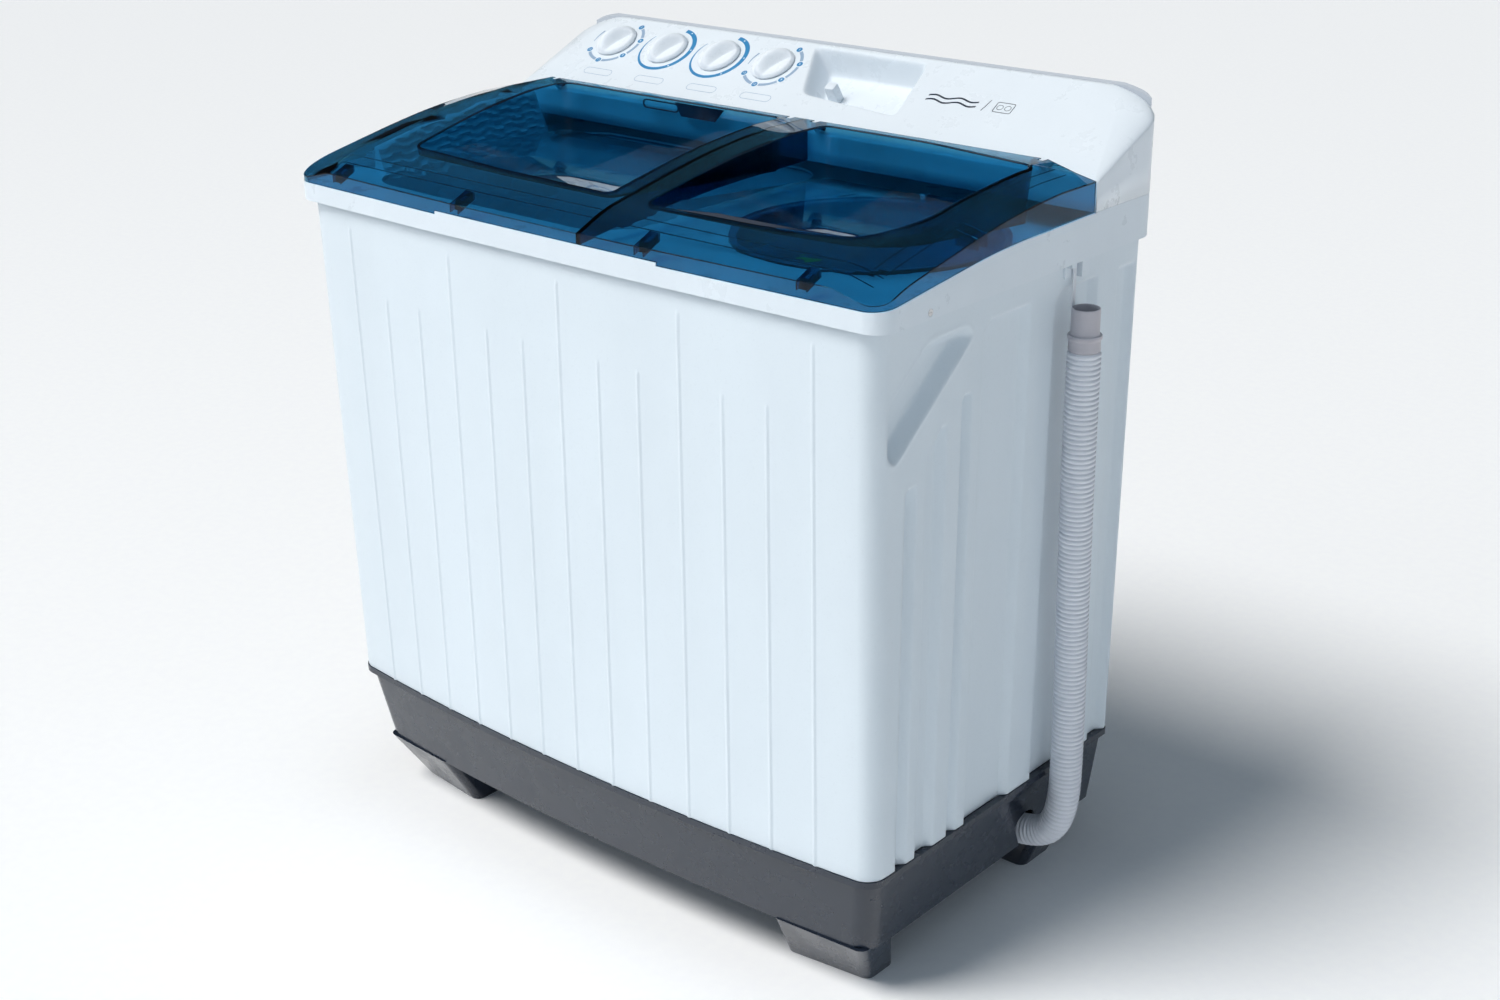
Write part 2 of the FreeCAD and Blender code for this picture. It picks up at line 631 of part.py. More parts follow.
# ---------------------------------------------------------------- control console
def panel_point(x, up, depth):
    """A point on the sloping panel: up from its front edge, depth measured into the console."""
    y = CONSOLE_FRONT + up * math.cos(CONSOLE_SLOPE) + depth * math.sin(CONSOLE_SLOPE)
    z = CONSOLE_FRONT_TOP + up * math.sin(CONSOLE_SLOPE) - depth * math.cos(CONSOLE_SLOPE)
    return vec(x, y, z)


PANEL_IN = vec(0, math.sin(CONSOLE_SLOPE), -math.cos(CONSOLE_SLOPE))


def console_section(y, inset, bottom):
    """A cross-section of the console; its top corners are rounded more towards the back."""
    share = (y - CONSOLE_FRONT) / CONSOLE_RUN
    top = CONSOLE_FRONT_TOP + CONSOLE_RISE * share - inset
    half = HALF_WIDTH - inset
    across = 4 + 52 * share
    down = 3 + 21 * share
    poles = {}
    for side in (1, -1):
        bend = Part.BezierCurve()
        ends = [vec(side * half, y, top - down), vec(side * (half - across * 0.18), y, top - down * 0.32),
                vec(side * (half - across), y, top)]
        bend.setPoles(ends if side > 0 else ends[::-1])
        poles[side] = (ends, bend)
    right, left = poles[1][0], poles[-1][0]
    low_right, low_left = vec(half, y, bottom), vec(-half, y, bottom)
    edges = [Part.LineSegment(low_left, low_right), Part.LineSegment(low_right, right[0]), poles[1][1],
             Part.LineSegment(right[2], left[2]), poles[-1][1], Part.LineSegment(left[0], low_left)]
    return Part.Wire([edge.toShape() for edge in edges])


def console_body(inset, bottom):
    """The console as a solid, with the same rounded rear corners as the rim below it."""
    plan = loft([rim_outline(inset, z) for z in (bottom - 1, HEIGHT + 1)])
    return loft([console_section(y, inset, bottom) for y in (CONSOLE_FRONT, REAR)]).common(plan)


TRAY_OUTLINE = [(-6, 64), (150, 50), (136, 149), (-46, 152)]
TRAY_DEPTH = 34.0


def tray_space(extra):
    """The tray sunk into the panel between the knobs and the plain right-hand part."""
    def at(depth, shrink):
        return rounded_wire(grown(TRAY_OUTLINE, extra - shrink), 9,
                            lambda x, up: panel_point(x, up, depth))
    return loft([at(-6, 0), at(TRAY_DEPTH + extra, 14)])


def control_panel():
    """The sloping moulded fascia with its end cheeks, tray, knob holes and lid knuckles."""
    outer = console_body(0, CONSOLE_BOTTOM)
    inner = console_body(SHEET, CONSOLE_BOTTOM - 10)
    inner.translate(vec(0, SHEET, 0))
    body = outer.cut(inner.cut(tray_space(SHEET))).cut(tray_space(0))
    body = body.common(box(-500, 500, 100, CONSOLE_SPLIT, 850, 1100))
    holes = [cylinder(6, panel_point(x, KNOB_UP, -5), 20, PANEL_IN) for x in KNOB_X.values()]
    nozzle = Part.makeBox(16, 14, 26, vec(-8, -7, 0))
    nozzle.rotate(ORIGIN, RIGHT, math.degrees(CONSOLE_SLOPE))
    nozzle.translate(panel_point(14, 96, TRAY_DEPTH + 1))
    arms = []
    for x, _ in KNUCKLES["wash"] + KNUCKLES["spin"]:
        start = x - KNUCKLE_HALF
        eye = cylinder(4.5, vec(start, LID_HINGE_Y, LID_HINGE_Z), 2 * KNUCKLE_HALF, RIGHT)
        arm = side_prism([(LID_HINGE_Y, LID_HINGE_Z - 4.4), (132, 922), (148, 934),
                          (LID_HINGE_Y + 6, LID_HINGE_Z + 2.5), (LID_HINGE_Y, LID_HINGE_Z + 4.4)],
                         start, start + 2 * KNUCKLE_HALF)
        pin_hole = cylinder(PIN_RADIUS, vec(start - 1, LID_HINGE_Y, LID_HINGE_Z), 10, RIGHT)
        arms.append(eye.fuse(arm).cut(pin_hole))
    return join([body.cut(Part.makeCompound(holes)), nozzle] + arms)


INLET_X, INLET_Z, INLET_CUP_HALF, INLET_CUP_DEPTH = 300.0, 937.0, 27.0, 32.0
SPIGOT_RADIUS = 13.2


def console_rear_cover():
    """The flat back of the console, with a square cup sunk in it round the water inlet."""
    plate = console_body(0, CONSOLE_BOTTOM).common(box(-500, 500, CONSOLE_SPLIT + 0.2, 300, 800, 1100))
    x0, x1 = INLET_X - INLET_CUP_HALF, INLET_X + INLET_CUP_HALF
    z0, z1 = INLET_Z - INLET_CUP_HALF, INLET_Z + INLET_CUP_HALF
    bottom = REAR - INLET_CUP_DEPTH
    cup = box(x0 - SHEET, x1 + SHEET, bottom - SHEET, REAR - 1, z0 - SHEET, z1 + SHEET)
    space = box(x0, x1, bottom, REAR + 1, z0, z1)
    hole = cylinder(10.1, vec(INLET_X, bottom - 10, INLET_Z), 30, BACK)
    slots = [box(-300 + 16 * i, -294 + 16 * i, 260, 280, 915, 955) for i in range(10)]
    return plate.fuse(cup).cut(Part.makeCompound([space, hole] + slots)).removeSplitter()


def water_inlet():
    """The threaded-size spigot that a supply hose screws on to."""
    bottom = REAR - INLET_CUP_DEPTH
    start = vec(INLET_X, bottom, INLET_Z)
    spigot = cylinder(SPIGOT_RADIUS, start + vec(0, 2, 0), INLET_CUP_DEPTH - 3, BACK)
    flange = cylinder(19, start, 2, BACK)
    tail = cylinder(10, start - vec(0, 22, 0), 23, BACK)
    return join([spigot, flange, tail]).cut(cylinder(7, start - vec(0, 30, 0), 80, BACK))


def knob():
    """A skirted knob with a tall curved grip, in its own frame: axis along Z, stem downwards."""
    skirt = Part.makeCone(30, 27, 5, vec(0, 0, 0.8)).fuse(Part.makeCone(27, 24, 2.2, vec(0, 0, 5.8)))
    sweep = Part.Arc(vec(-27, 0, 7), vec(0, 0, 21), vec(27, 0, 7)).toShape()
    close = Part.LineSegment(vec(27, 0, 7), vec(-27, 0, 7)).toShape()
    blade = Part.Face(Part.Wire([sweep, close])).extrude(vec(0, 11, 0))
    blade.translate(vec(0, -5.5, 0))
    blade = blade.common(cylinder(26, vec(0, 0, 5), 30))
    stem = cylinder(4, vec(0, 0, -12), 14)
    return join([skirt, blade, stem])


GRIP_ANGLE = 62.0        # how far every knob's grip is turned from level at rest


def placed_on_panel(shape, x, turn, depth=0.0):
    """Turns a part about its own axis, tips it on to the panel and moves it to its place."""
    placed = shape.copy()
    placed.rotate(ORIGIN, UP, turn)
    placed.rotate(ORIGIN, RIGHT, math.degrees(CONSOLE_SLOPE))
    placed.translate(panel_point(x, KNOB_UP, depth))
    return placed


def timer():
    """A clockwork timer: square body, lid and a bored hub for the knob's stem."""
    body = Part.makeBox(50, 46, 24, vec(-25, -23, -32))
    hub = cylinder(9, vec(0, 0, -9), 4.5)
    return join([body, hub]).cut(cylinder(4 + RUNNING, vec(0, 0, -20), 30))


def selector():
    """A selector: a smaller flat body with a bored hub."""
    body = Part.makeBox(38, 30, 14, vec(-19, -15, -22))
    hub = cylinder(8, vec(0, 0, -9), 4.5)
    return join([body, hub]).cut(cylinder(4 + RUNNING, vec(0, 0, -20), 30))


# ---------------------------------------------------------------- wash side
def wash_tub():
    """The tapered wash tub with washboard ribs moulded on its left wall."""
    def skin(inset, bottom, top):
        return loft([wash_opening(20 + inset, bottom), wash_opening(inset, top)])

    flange = loft([wash_opening(-11, 851.5), wash_opening(-11, 854.7)])
    shell = skin(-WALL, WASH_FLOOR - WALL, 853).fuse(flange).cut(skin(0, WASH_FLOOR, 860))
    ribs = []
    for index in range(8):
        z = 630 + 24 * index
        inner_x = -405 + 20 * (852 - z) / 432
        ribs.append(cylinder(5, vec(inner_x, -130, z), 255, BACK))
    shaft_hole = cylinder(14, vec(WASH_X, WASH_Y, WASH_FLOOR - 10), 20)
    drain_hole = cylinder(16, vec(WASH_X + 30, 158, WASH_FLOOR - 10), 20)
    return join([shell] + ribs).cut(shaft_hole).cut(drain_hole)


def drain_duct_cover():
    """The upright cover over the overflow duct, clipped to the tub's rear wall."""
    outer = side_prism([(160, 426), (180, 426), (197, 800), (166, 800)], -120, -40)
    hollow = side_prism([(163, 429), (183, 429), (200, 797), (169, 797)], -117, -43)
    slots = [box(-108, -52, 155, 168, z, z + 4) for z in range(450, 560, 11)]
    return outer.cut(hollow).cut(Part.makeCompound(slots))


FILTER_BOX = (-240, -160, 158, 172, 520, 690)


def lint_filter():
    """The lift-out lint filter: a frame with a grille."""
    x0, x1, y0, y1, z0, z1 = FILTER_BOX
    outer = box(*FILTER_BOX)
    bars = [box(x0 + 8 + 11 * i, x0 + 15 + 11 * i, y0 - 1, y0 + 3, z0 + 10, z1 - 24) for i in range(6)]
    pocket = box(x0 + 3, x1 - 3, y0 + 3, y1 + 1, z0 + 3, z1 - 16)
    return outer.cut(Part.makeCompound(bars + [pocket]))


def pulsator():
    """The ribbed agitator disc on the wash tub's floor."""
    disc = Part.makeCone(165, 150, 10, vec(WASH_X, WASH_Y, WASH_FLOOR + 4))
    dome = Part.makeCone(60, 26, 26, vec(WASH_X, WASH_Y, WASH_FLOOR + 12))
    vanes = [side_vane(index * 60) for index in range(6)]
    socket = cylinder(8, vec(WASH_X, WASH_Y, WASH_FLOOR), 14)
    screw_seat = cylinder(11, vec(WASH_X, WASH_Y, WASH_FLOOR + 34), 10)
    return join([disc, dome] + vanes).cut(socket).cut(screw_seat)


def side_vane(angle):
    """One curved-top vane of the pulsator."""
    profile = face([vec(24, -6, 0), vec(150, -6, 0), vec(146, -6, 9), vec(60, -6, 20), vec(24, -6, 24)])
    vane = profile.extrude(vec(0, 12, 0))
    vane.rotate(ORIGIN, UP, angle)
    vane.translate(vec(WASH_X, WASH_Y, WASH_FLOOR + 12))
    return vane


def pulsator_cap():
    return cylinder(10.5, vec(WASH_X, WASH_Y, WASH_FLOOR + 34), 6)


def wash_shaft():
    return cylinder(8, vec(WASH_X, WASH_Y, 350), WASH_FLOOR + 14 - 350)


def gearbox_housing():
    """The reduction gearbox under the wash tub, bored for its shafts."""
    body = cylinder(75, vec(WASH_X, WASH_Y, GEARBOX_BOTTOM), 62)
    shoulder = Part.makeCone(75, 40, 26, vec(WASH_X, WASH_Y, GEARBOX_BOTTOM + 62))
    neck = cylinder(24, vec(WASH_X, WASH_Y, GEARBOX_BOTTOM + 84), 34)
    upper = cylinder(8 + RUNNING, vec(WASH_X, WASH_Y, 340), 100)
    lower = cylinder(7 + RUNNING, vec(WASH_X, WASH_Y, GEARBOX_BOTTOM - 5), 35)
    lugs = [box(WASH_X - 92, WASH_X + 92, WASH_Y - 9, WASH_Y + 9, GEARBOX_BOTTOM, GEARBOX_BOTTOM + 5)]
    lower_neck = neck.common(box(-400, 400, -400, 400, 0, WASH_FLOOR - WALL - 0.1))
    return join([body, shoulder, lower_neck] + lugs).cut(upper).cut(lower)


def shaft_seal():
    """The rubber seal where the wash shaft comes through the tub's floor."""
    seal = tube(13.8, 8 + RUNNING, vec(WASH_X, WASH_Y, WASH_FLOOR - WALL), WALL + 0.8)
    return seal


def gearbox_pulley():
    centre = vec(WASH_X, WASH_Y, PULLEY_BOTTOM)
    return grooved_pulley(centre, BIG_PULLEY_RADIUS, 7)


def motor_pulley():
    centre = vec(WASH_MOTOR_X, WASH_MOTOR_Y, PULLEY_BOTTOM)
    return grooved_pulley(centre, SMALL_PULLEY_RADIUS, 6)


def grooved_pulley(centre, radius, bore):
    """A belt pulley whose flanges stand 5 mm proud of the running surface."""
    height = PULLEY_TOP - PULLEY_BOTTOM
    disc = cylinder(radius + 5, centre, height)
    groove = tube(radius + 10, radius, centre + vec(0, 0, 4), height - 8)
    pulley = disc.cut(groove).cut(cylinder(bore, centre - vec(0, 0, 1), height + 2))
    if radius > 50:
        for index in range(5):
            window = cylinder(14, centre + vec(radius * 0.58, 0, -1), height + 2)
            window.rotate(centre, UP, index * 72)
            pulley = pulley.cut(window)
    return pulley


def gearbox_input_shaft():
    return cylinder(7, vec(WASH_X, WASH_Y, PULLEY_BOTTOM - 4), 68)


def motor_shaft():
    return cylinder(6, vec(WASH_MOTOR_X, WASH_MOTOR_Y, PULLEY_BOTTOM - 4), 60)


def drive_belt():
    """The belt round both pulleys, drawn a little clear of them."""
    big = (WASH_X, WASH_Y, BIG_PULLEY_RADIUS + 0.4)
    small = (WASH_MOTOR_X, WASH_MOTOR_Y, SMALL_PULLEY_RADIUS + 0.4)

    def loop(extra):
        dx, dy = small[0] - big[0], small[1] - big[1]
        along = math.atan2(dy, dx)
        lean = math.acos((big[2] - small[2]) / math.hypot(dx, dy))
        at = level(PULLEY_BOTTOM + 6)
        def on(circle, angle):
            radius = circle[2] + extra
            return at(circle[0] + radius * math.cos(angle), circle[1] + radius * math.sin(angle))
        edges = [Part.LineSegment(on(big, along - lean), on(small, along - lean)),
                 Part.Arc(on(small, along - lean), on(small, along), on(small, along + lean)),
                 Part.LineSegment(on(small, along + lean), on(big, along + lean)),
                 Part.Arc(on(big, along + lean), on(big, along + math.pi), on(big, along - lean))]
        return Part.Face(Part.Wire([edge.toShape() for edge in edges])).extrude(vec(0, 0, 12))

    return loop(4.2).cut(loop(0))


def wash_motor():
    """The wash motor: laminated body between two end shells."""
    centre = vec(WASH_MOTOR_X, WASH_MOTOR_Y, GEARBOX_BOTTOM)
    stator = Part.makeBox(112, 112, 46, centre + vec(-56, -56, 22))
    corners = cylinder(70, centre + vec(0, 0, 20), 60)
    lower = Part.makeCone(50, 58, 22, centre)
    upper = Part.makeCone(58, 44, 22, centre + vec(0, 0, 68))
    bore = cylinder(6 + RUNNING, centre - vec(0, 0, 1), 30)
    return join([stator.common(corners), lower, upper]).cut(bore)


BRACKET_POSTS = [(-295, -80), (-295, 55), (-70, -80), (-75, 160)]


def drive_bracket():
    """The steel plate that carries the gearbox and the wash motor."""
    outline = [(-315, -100), (-50, -100), (90, 45), (90, 190), (-90, 190), (-315, 80)]
    plate = plan_prism(outline, GEARBOX_BOTTOM - 3, GEARBOX_BOTTOM)
    holes = [cylinder(12, vec(WASH_X, WASH_Y, 290), 20), cylinder(10, vec(WASH_MOTOR_X, WASH_MOTOR_Y, 290), 20)]
    return plate.cut(Part.makeCompound(holes))


def bracket_posts():
    """Four spacer tubes between the bracket and the tub's floor."""
    height = WASH_FLOOR - WALL - GEARBOX_BOTTOM
    return Part.makeCompound([tube(9, 4, vec(x, y, GEARBOX_BOTTOM), height) for x, y in BRACKET_POSTS])


# ---------------------------------------------------------------- spin side
def spin_casing():
    """The fixed outer tub of the spin side."""
    centre = vec(SPIN_X, SPIN_Y, CASING_FLOOR)
    outer = cylinder(CASING_RADIUS + WALL, centre - vec(0, 0, WALL), 854.7 - CASING_FLOOR + WALL)
    flange = cylinder(CASING_RADIUS + 9, vec(SPIN_X, SPIN_Y, 851.5), 3.2)
    space = cylinder(CASING_RADIUS, centre, 500)
    mouth = cylinder(24, centre - vec(0, 0, 5), 10)
    outlet = cylinder(15, centre + vec(-100, 90, -5), 10)
    return join([outer, flange]).cut(Part.makeCompound([space, mouth, outlet]))


def bellows_seal():
    """The rubber bellows that closes the casing's floor round the spin shaft."""
    centre = vec(SPIN_X, SPIN_Y, CASING_FLOOR - WALL)
    collar = cylinder(23.8, centre, WALL + 2)
    folds = [Part.makeCone(20 - step, 13 - step * 0.3, 6, centre - vec(0, 0, 6 * step)) for step in (1, 2, 3)]
    hub = cylinder(12, centre + vec(0, 0, WALL), 10)
    return join([collar, hub] + folds).cut(
        cylinder(SPIN_SHAFT_RADIUS + RUNNING, centre - vec(0, 0, 40), 80))


def spin_basket():
    """The perforated spin basket with its hub."""
    centre = vec(SPIN_X, SPIN_Y, BASKET_FLOOR)
    outer = cylinder(BASKET_RADIUS + 1.5, centre, BASKET_TOP - 26 - BASKET_FLOOR)
    inner = cylinder(BASKET_RADIUS, centre + vec(0, 0, 4), 500)
    hub = Part.makeCone(45, 22, 30, centre + vec(0, 0, 3))
    holes = []
    for row in range(6):
        for column in range(12):
            hole = cylinder(4, vec(SPIN_X + BASKET_RADIUS - 6, SPIN_Y, BASKET_FLOOR + 60 + 50 * row), 14, RIGHT)
            hole.rotate(centre, UP, 30 * column + 15 * (row % 2))
            holes.append(hole)
    body = join([outer.cut(inner), hub])
    return body.cut(Part.makeCompound(holes)).cut(cylinder(SPIN_SHAFT_RADIUS, centre - vec(0, 0, 5), 30))


def balance_ring():
    """The hollow ring at the basket's mouth that steadies it at speed."""
    return tube(BASKET_RADIUS + 5, BASKET_RADIUS - 16, vec(SPIN_X, SPIN_Y, BASKET_TOP - 26), 26)


def spin_shaft():
    bottom = 274.0
    return cylinder(SPIN_SHAFT_RADIUS, vec(SPIN_X, SPIN_Y, bottom), BASKET_FLOOR + 25 - bottom)


def brake_drum():
    centre = vec(SPIN_X, SPIN_Y, DRUM_BOTTOM)
    height = DRUM_TOP - DRUM_BOTTOM
    rim = tube(DRUM_RADIUS, DRUM_RADIUS - 5, centre, height)
    web = cylinder(DRUM_RADIUS - 2, centre + vec(0, 0, 10), 5)
    hub = cylinder(16, centre - vec(0, 0, 8), height + 12)
    return join([rim, web, hub]).cut(cylinder(SPIN_SHAFT_RADIUS, centre - vec(0, 0, 20), 60))


LEVER_PIVOT = (332.0, 60.0)


def brake_lever():
    """The brake arm with its shoe, which closes on the drum when the spin lid is lifted."""
    arm = plan_prism([(322, -10), (334, -10), (341, 60), (323, 60)], 324, 330)
    eye = cylinder(10, vec(*LEVER_PIVOT, 322), 12)
    tail = plan_prism([(326, 60), (338, 60), (336, 112), (328, 112)], 324, 330)
    shoe = box(308, 336, -36, -4, 320, 342).cut(cylinder(DRUM_RADIUS + 5, vec(SPIN_X, SPIN_Y, 300), 60))
    return join([arm, eye, tail, shoe]).cut(cylinder(4 + RUNNING, vec(*LEVER_PIVOT, 300), 60))


def brake_bracket():
    """The pin that the brake arm turns on, and its foot on the motor plate."""
    pin = cylinder(4, vec(*LEVER_PIVOT, 196), 144)
    sleeve = cylinder(8, vec(*LEVER_PIVOT, 190), 131)
    return pin.fuse(sleeve).removeSplitter()


def spin_motor():
    """The spin motor, standing on its sprung plate."""
    centre = vec(SPIN_X, SPIN_Y, 190)
    lower = Part.makeCone(56, 66, 22, centre)
    stator = cylinder(68, centre + vec(0, 0, 22), 48)
    upper = Part.makeCone(66, 40, 22, centre + vec(0, 0, 70))
    neck = cylinder(20, centre + vec(0, 0, 90), 12)
    bore = cylinder(SPIN_SHAFT_RADIUS + RUNNING, centre + vec(0, 0, 80), 60)
    return join([lower, stator, upper, neck]).cut(bore)


SPRING_RADIUS = 92.0


def spring_places():
    return [(SPIN_X + SPRING_RADIUS * math.cos(math.radians(angle)),
             SPIN_Y + SPRING_RADIUS * math.sin(math.radians(angle))) for angle in (50, 170, 290)]


def spin_motor_plate():
    """The plate under the spin motor, with a seat for each spring."""
    plate = cylinder(78, vec(SPIN_X, SPIN_Y, 184), 6)
    seats = [cylinder(20, vec(x, y, 184), 6) for x, y in spring_places()]
    lug = plan_prism([(SPIN_X + 30, SPIN_Y + 30), (SPIN_X + 66, SPIN_Y + 10), (345, 52), (330, 74), (316, 64)], 184, 190)
    return join([plate, lug] + seats)


def spin_motor_springs():
    """Three coil springs that stand on the base and carry the spin motor."""
    springs = []
    wire = 2.0
    for x, y in spring_places():
        height = 184 - BASE_FLOOR - WALL - 2 * wire - 0.2
        helix = Part.makeHelix(17.0, height, 14.0)
        ring = Part.Wire([Part.makeCircle(wire, vec(14.0, 0, 0), BACK)])
        coil = Part.Wire(helix.Edges).makePipeShell([ring], True, True)
        coil.translate(vec(x, y, BASE_FLOOR + WALL + wire + 0.1))
        springs.append(coil)
    return Part.makeCompound(springs)


def spring_guides():
    """The rubber cores inside the springs."""
    height = 184 - BASE_FLOOR - WALL
    return Part.makeCompound([cylinder(9, vec(x, y, BASE_FLOOR + WALL), height) for x, y in spring_places()])


def capacitor():
    can = cylinder(22, vec(60, -150, BASE_FLOOR + WALL), 62)
    tabs = [box(60 + offset, 62 + offset, -154, -146, BASE_FLOOR + WALL + 61, BASE_FLOOR + WALL + 70)
            for offset in (-8, 6)]
    return join([can] + tabs)


# ---------------------------------------------------------------- drain
def drain_valve_body():
    """The valve chest behind the tub: inlet from the tub, outlet to the drain pipe."""
    chest = box(-205, -130, 207, 255, 330, 400)
    neck = cylinder(18, vec(-130, 231, 350), 16, RIGHT)
    inlet = box(-180, -140, 150, 208, 396, 416.8)
    body = join([chest, neck, inlet])
    return body.cut(cylinder(14, vec(-190, 231, 350), 80, RIGHT)).cut(
        cylinder(5 + RUNNING, vec(-167, 236, 356), 60)).cut(cylinder(12, vec(-160, 165, 390), 40))


def drain_valve_stem():
    """The valve's lifting stem."""
    return cylinder(5, vec(-167, 236, 368), 52)


def drain_strap():
    """The flat strap that runs from the valve stem up to the drain selector."""
    return box(-171, -163, 235.2, 236.8, 420, 936)


def inner_drain_pipe():
    """The fixed pipe from the valve chest round to the elbow in the base."""
    route = [(-114, 231, 350), (60, 231, 350), (240, 225, 345), (350, 196, 300), (380, 150, 236),
             (384, 118, 190), (384, 118, 160)]
    return pipe(route, 15, 12.5)[0]


def drain_elbow():
    """The elbow in the base that turns the pipe out to the hose."""
    hose_start = vec(*HOSE_ROUTE[0])
    out = (vec(*HOSE_ROUTE[1]) - hose_start).normalize()
    reach = (hose_start.x - 384) / out.x
    corner = hose_start - out * reach

    def bent(radius):
        upright = cylinder(radius, corner, 160 - corner.z)
        knee = Part.makeSphere(radius, corner)
        return join([upright, knee, cylinder(radius, corner, reach, out)])

    return bent(17.5).cut(bent(14.5))


def drain_hose():
    solid, radii, length = pipe(HOSE_ROUTE, HOSE_RADIUS, HOSE_BORE)
    section = math.pi * (HOSE_RADIUS ** 2 - HOSE_BORE ** 2)
    print("drain_hose bends, mm:", [round(radius) for radius in radii])
    print("drain_hose length %.0f mm, volume / (section x length) = %.4f"
          % (length, solid.Volume / (section * length)))
    return solid


CUFF_X, CUFF_Y, CUFF_BOTTOM = 474.0, 107.0, 735.0


def hose_cuff():
    """The smooth end of the drain hose: collar, ring and open mouth."""
    base_point = vec(CUFF_X, CUFF_Y, CUFF_BOTTOM)
    body = cylinder(18.5, base_point, 16).fuse(cylinder(20, base_point + vec(0, 0, 15), 5))
    mouth = cylinder(16.5, base_point + vec(0, 0, 18), 33)
    return join([body, mouth]).cut(cylinder(14.5, base_point - vec(0, 0, 1), 60))


def hose_hanger():
    """The thin strap that holds the cuff up to the hook on the rim."""
    strip = box(455.3, 456.9, 104, 110, CUFF_BOTTOM + 20, 841)
    cross_bar = box(455.3, 456.9, 97, 119, HOOK_TOP, 841)
    return strip.fuse(cross_bar).removeSplitter()


HOOK_TOP = 837.6


def hose_hook():
    """The clip under the rim's edge whose two arms carry the hanger's cross bar."""
    plate = box(451.0, 453.4, 92, 128, 818, 845.5)
    tab = box(452.4, 461.7, 92, 102, 832, HOOK_TOP)
    finger = box(452.4, 461.7, 114, 128, 818, HOOK_TOP)
    return join([plate, tab, finger])


def build():
    parts = {
        "base": base(), "cabinet": cabinet(), "back_cover": back_cover(),
        "back_cover_screws": back_cover_screws(), "cable_gland": cable_gland(),
        "top_frame": top_frame(), "top_frame_screws": top_frame_screws(),
        "wash_lid": lid("wash"), "spin_lid": lid("spin"), "lid_hinge_pins": lid_hinge_pins(),
        "spin_inner_lid": spin_inner_lid(), "control_panel": control_panel(),
        "console_rear_cover": console_rear_cover(), "water_inlet": water_inlet(),
        "wash_tub": wash_tub(), "drain_duct_cover": drain_duct_cover(),
        "lint_filter": lint_filter(), "pulsator": pulsator(), "pulsator_cap": pulsator_cap(),
        "wash_shaft": wash_shaft(), "gearbox_housing": gearbox_housing(), "shaft_seal": shaft_seal(),
        "gearbox_pulley": gearbox_pulley(), "gearbox_input_shaft": gearbox_input_shaft(),
        "motor_pulley": motor_pulley(), "motor_shaft": motor_shaft(), "drive_belt": drive_belt(),
        "wash_motor": wash_motor(), "drive_bracket": drive_bracket(), "bracket_posts": bracket_posts(),
        "spin_casing": spin_casing(), "bellows_seal": bellows_seal(), "spin_basket": spin_basket(),
        "balance_ring": balance_ring(), "spin_shaft": spin_shaft(), "brake_drum": brake_drum(),
        "brake_lever": brake_lever(), "brake_bracket": brake_bracket(), "spin_motor": spin_motor(),
        "spin_motor_plate": spin_motor_plate(), "spin_motor_springs": spin_motor_springs(),
        "spring_guides": spring_guides(), "capacitor": capacitor(),
        "drain_valve_body": drain_valve_body(), "drain_valve_stem": drain_valve_stem(),
        "drain_strap": drain_strap(), "inner_drain_pipe": inner_drain_pipe(),
        "drain_elbow": drain_elbow(), "drain_hose": drain_hose(), "hose_cuff": hose_cuff(),
        "hose_hanger": hose_hanger(), "hose_hook": hose_hook(),
    }
    for name, x in KNOB_X.items():
        parts[name + "_knob"] = placed_on_panel(knob(), x, GRIP_ANGLE)
        parts[name] = placed_on_panel(timer() if "timer" in name else selector(), x, 0)
    return parts


os.makedirs("parts", exist_ok=True)
for part_name, part_shape in build().items():
    save(part_name, part_shape)
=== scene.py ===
"""Looks of the twin tub washer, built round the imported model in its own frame, in metres."""
import json
import math

import bmesh
import bpy
from mathutils import Matrix, Vector

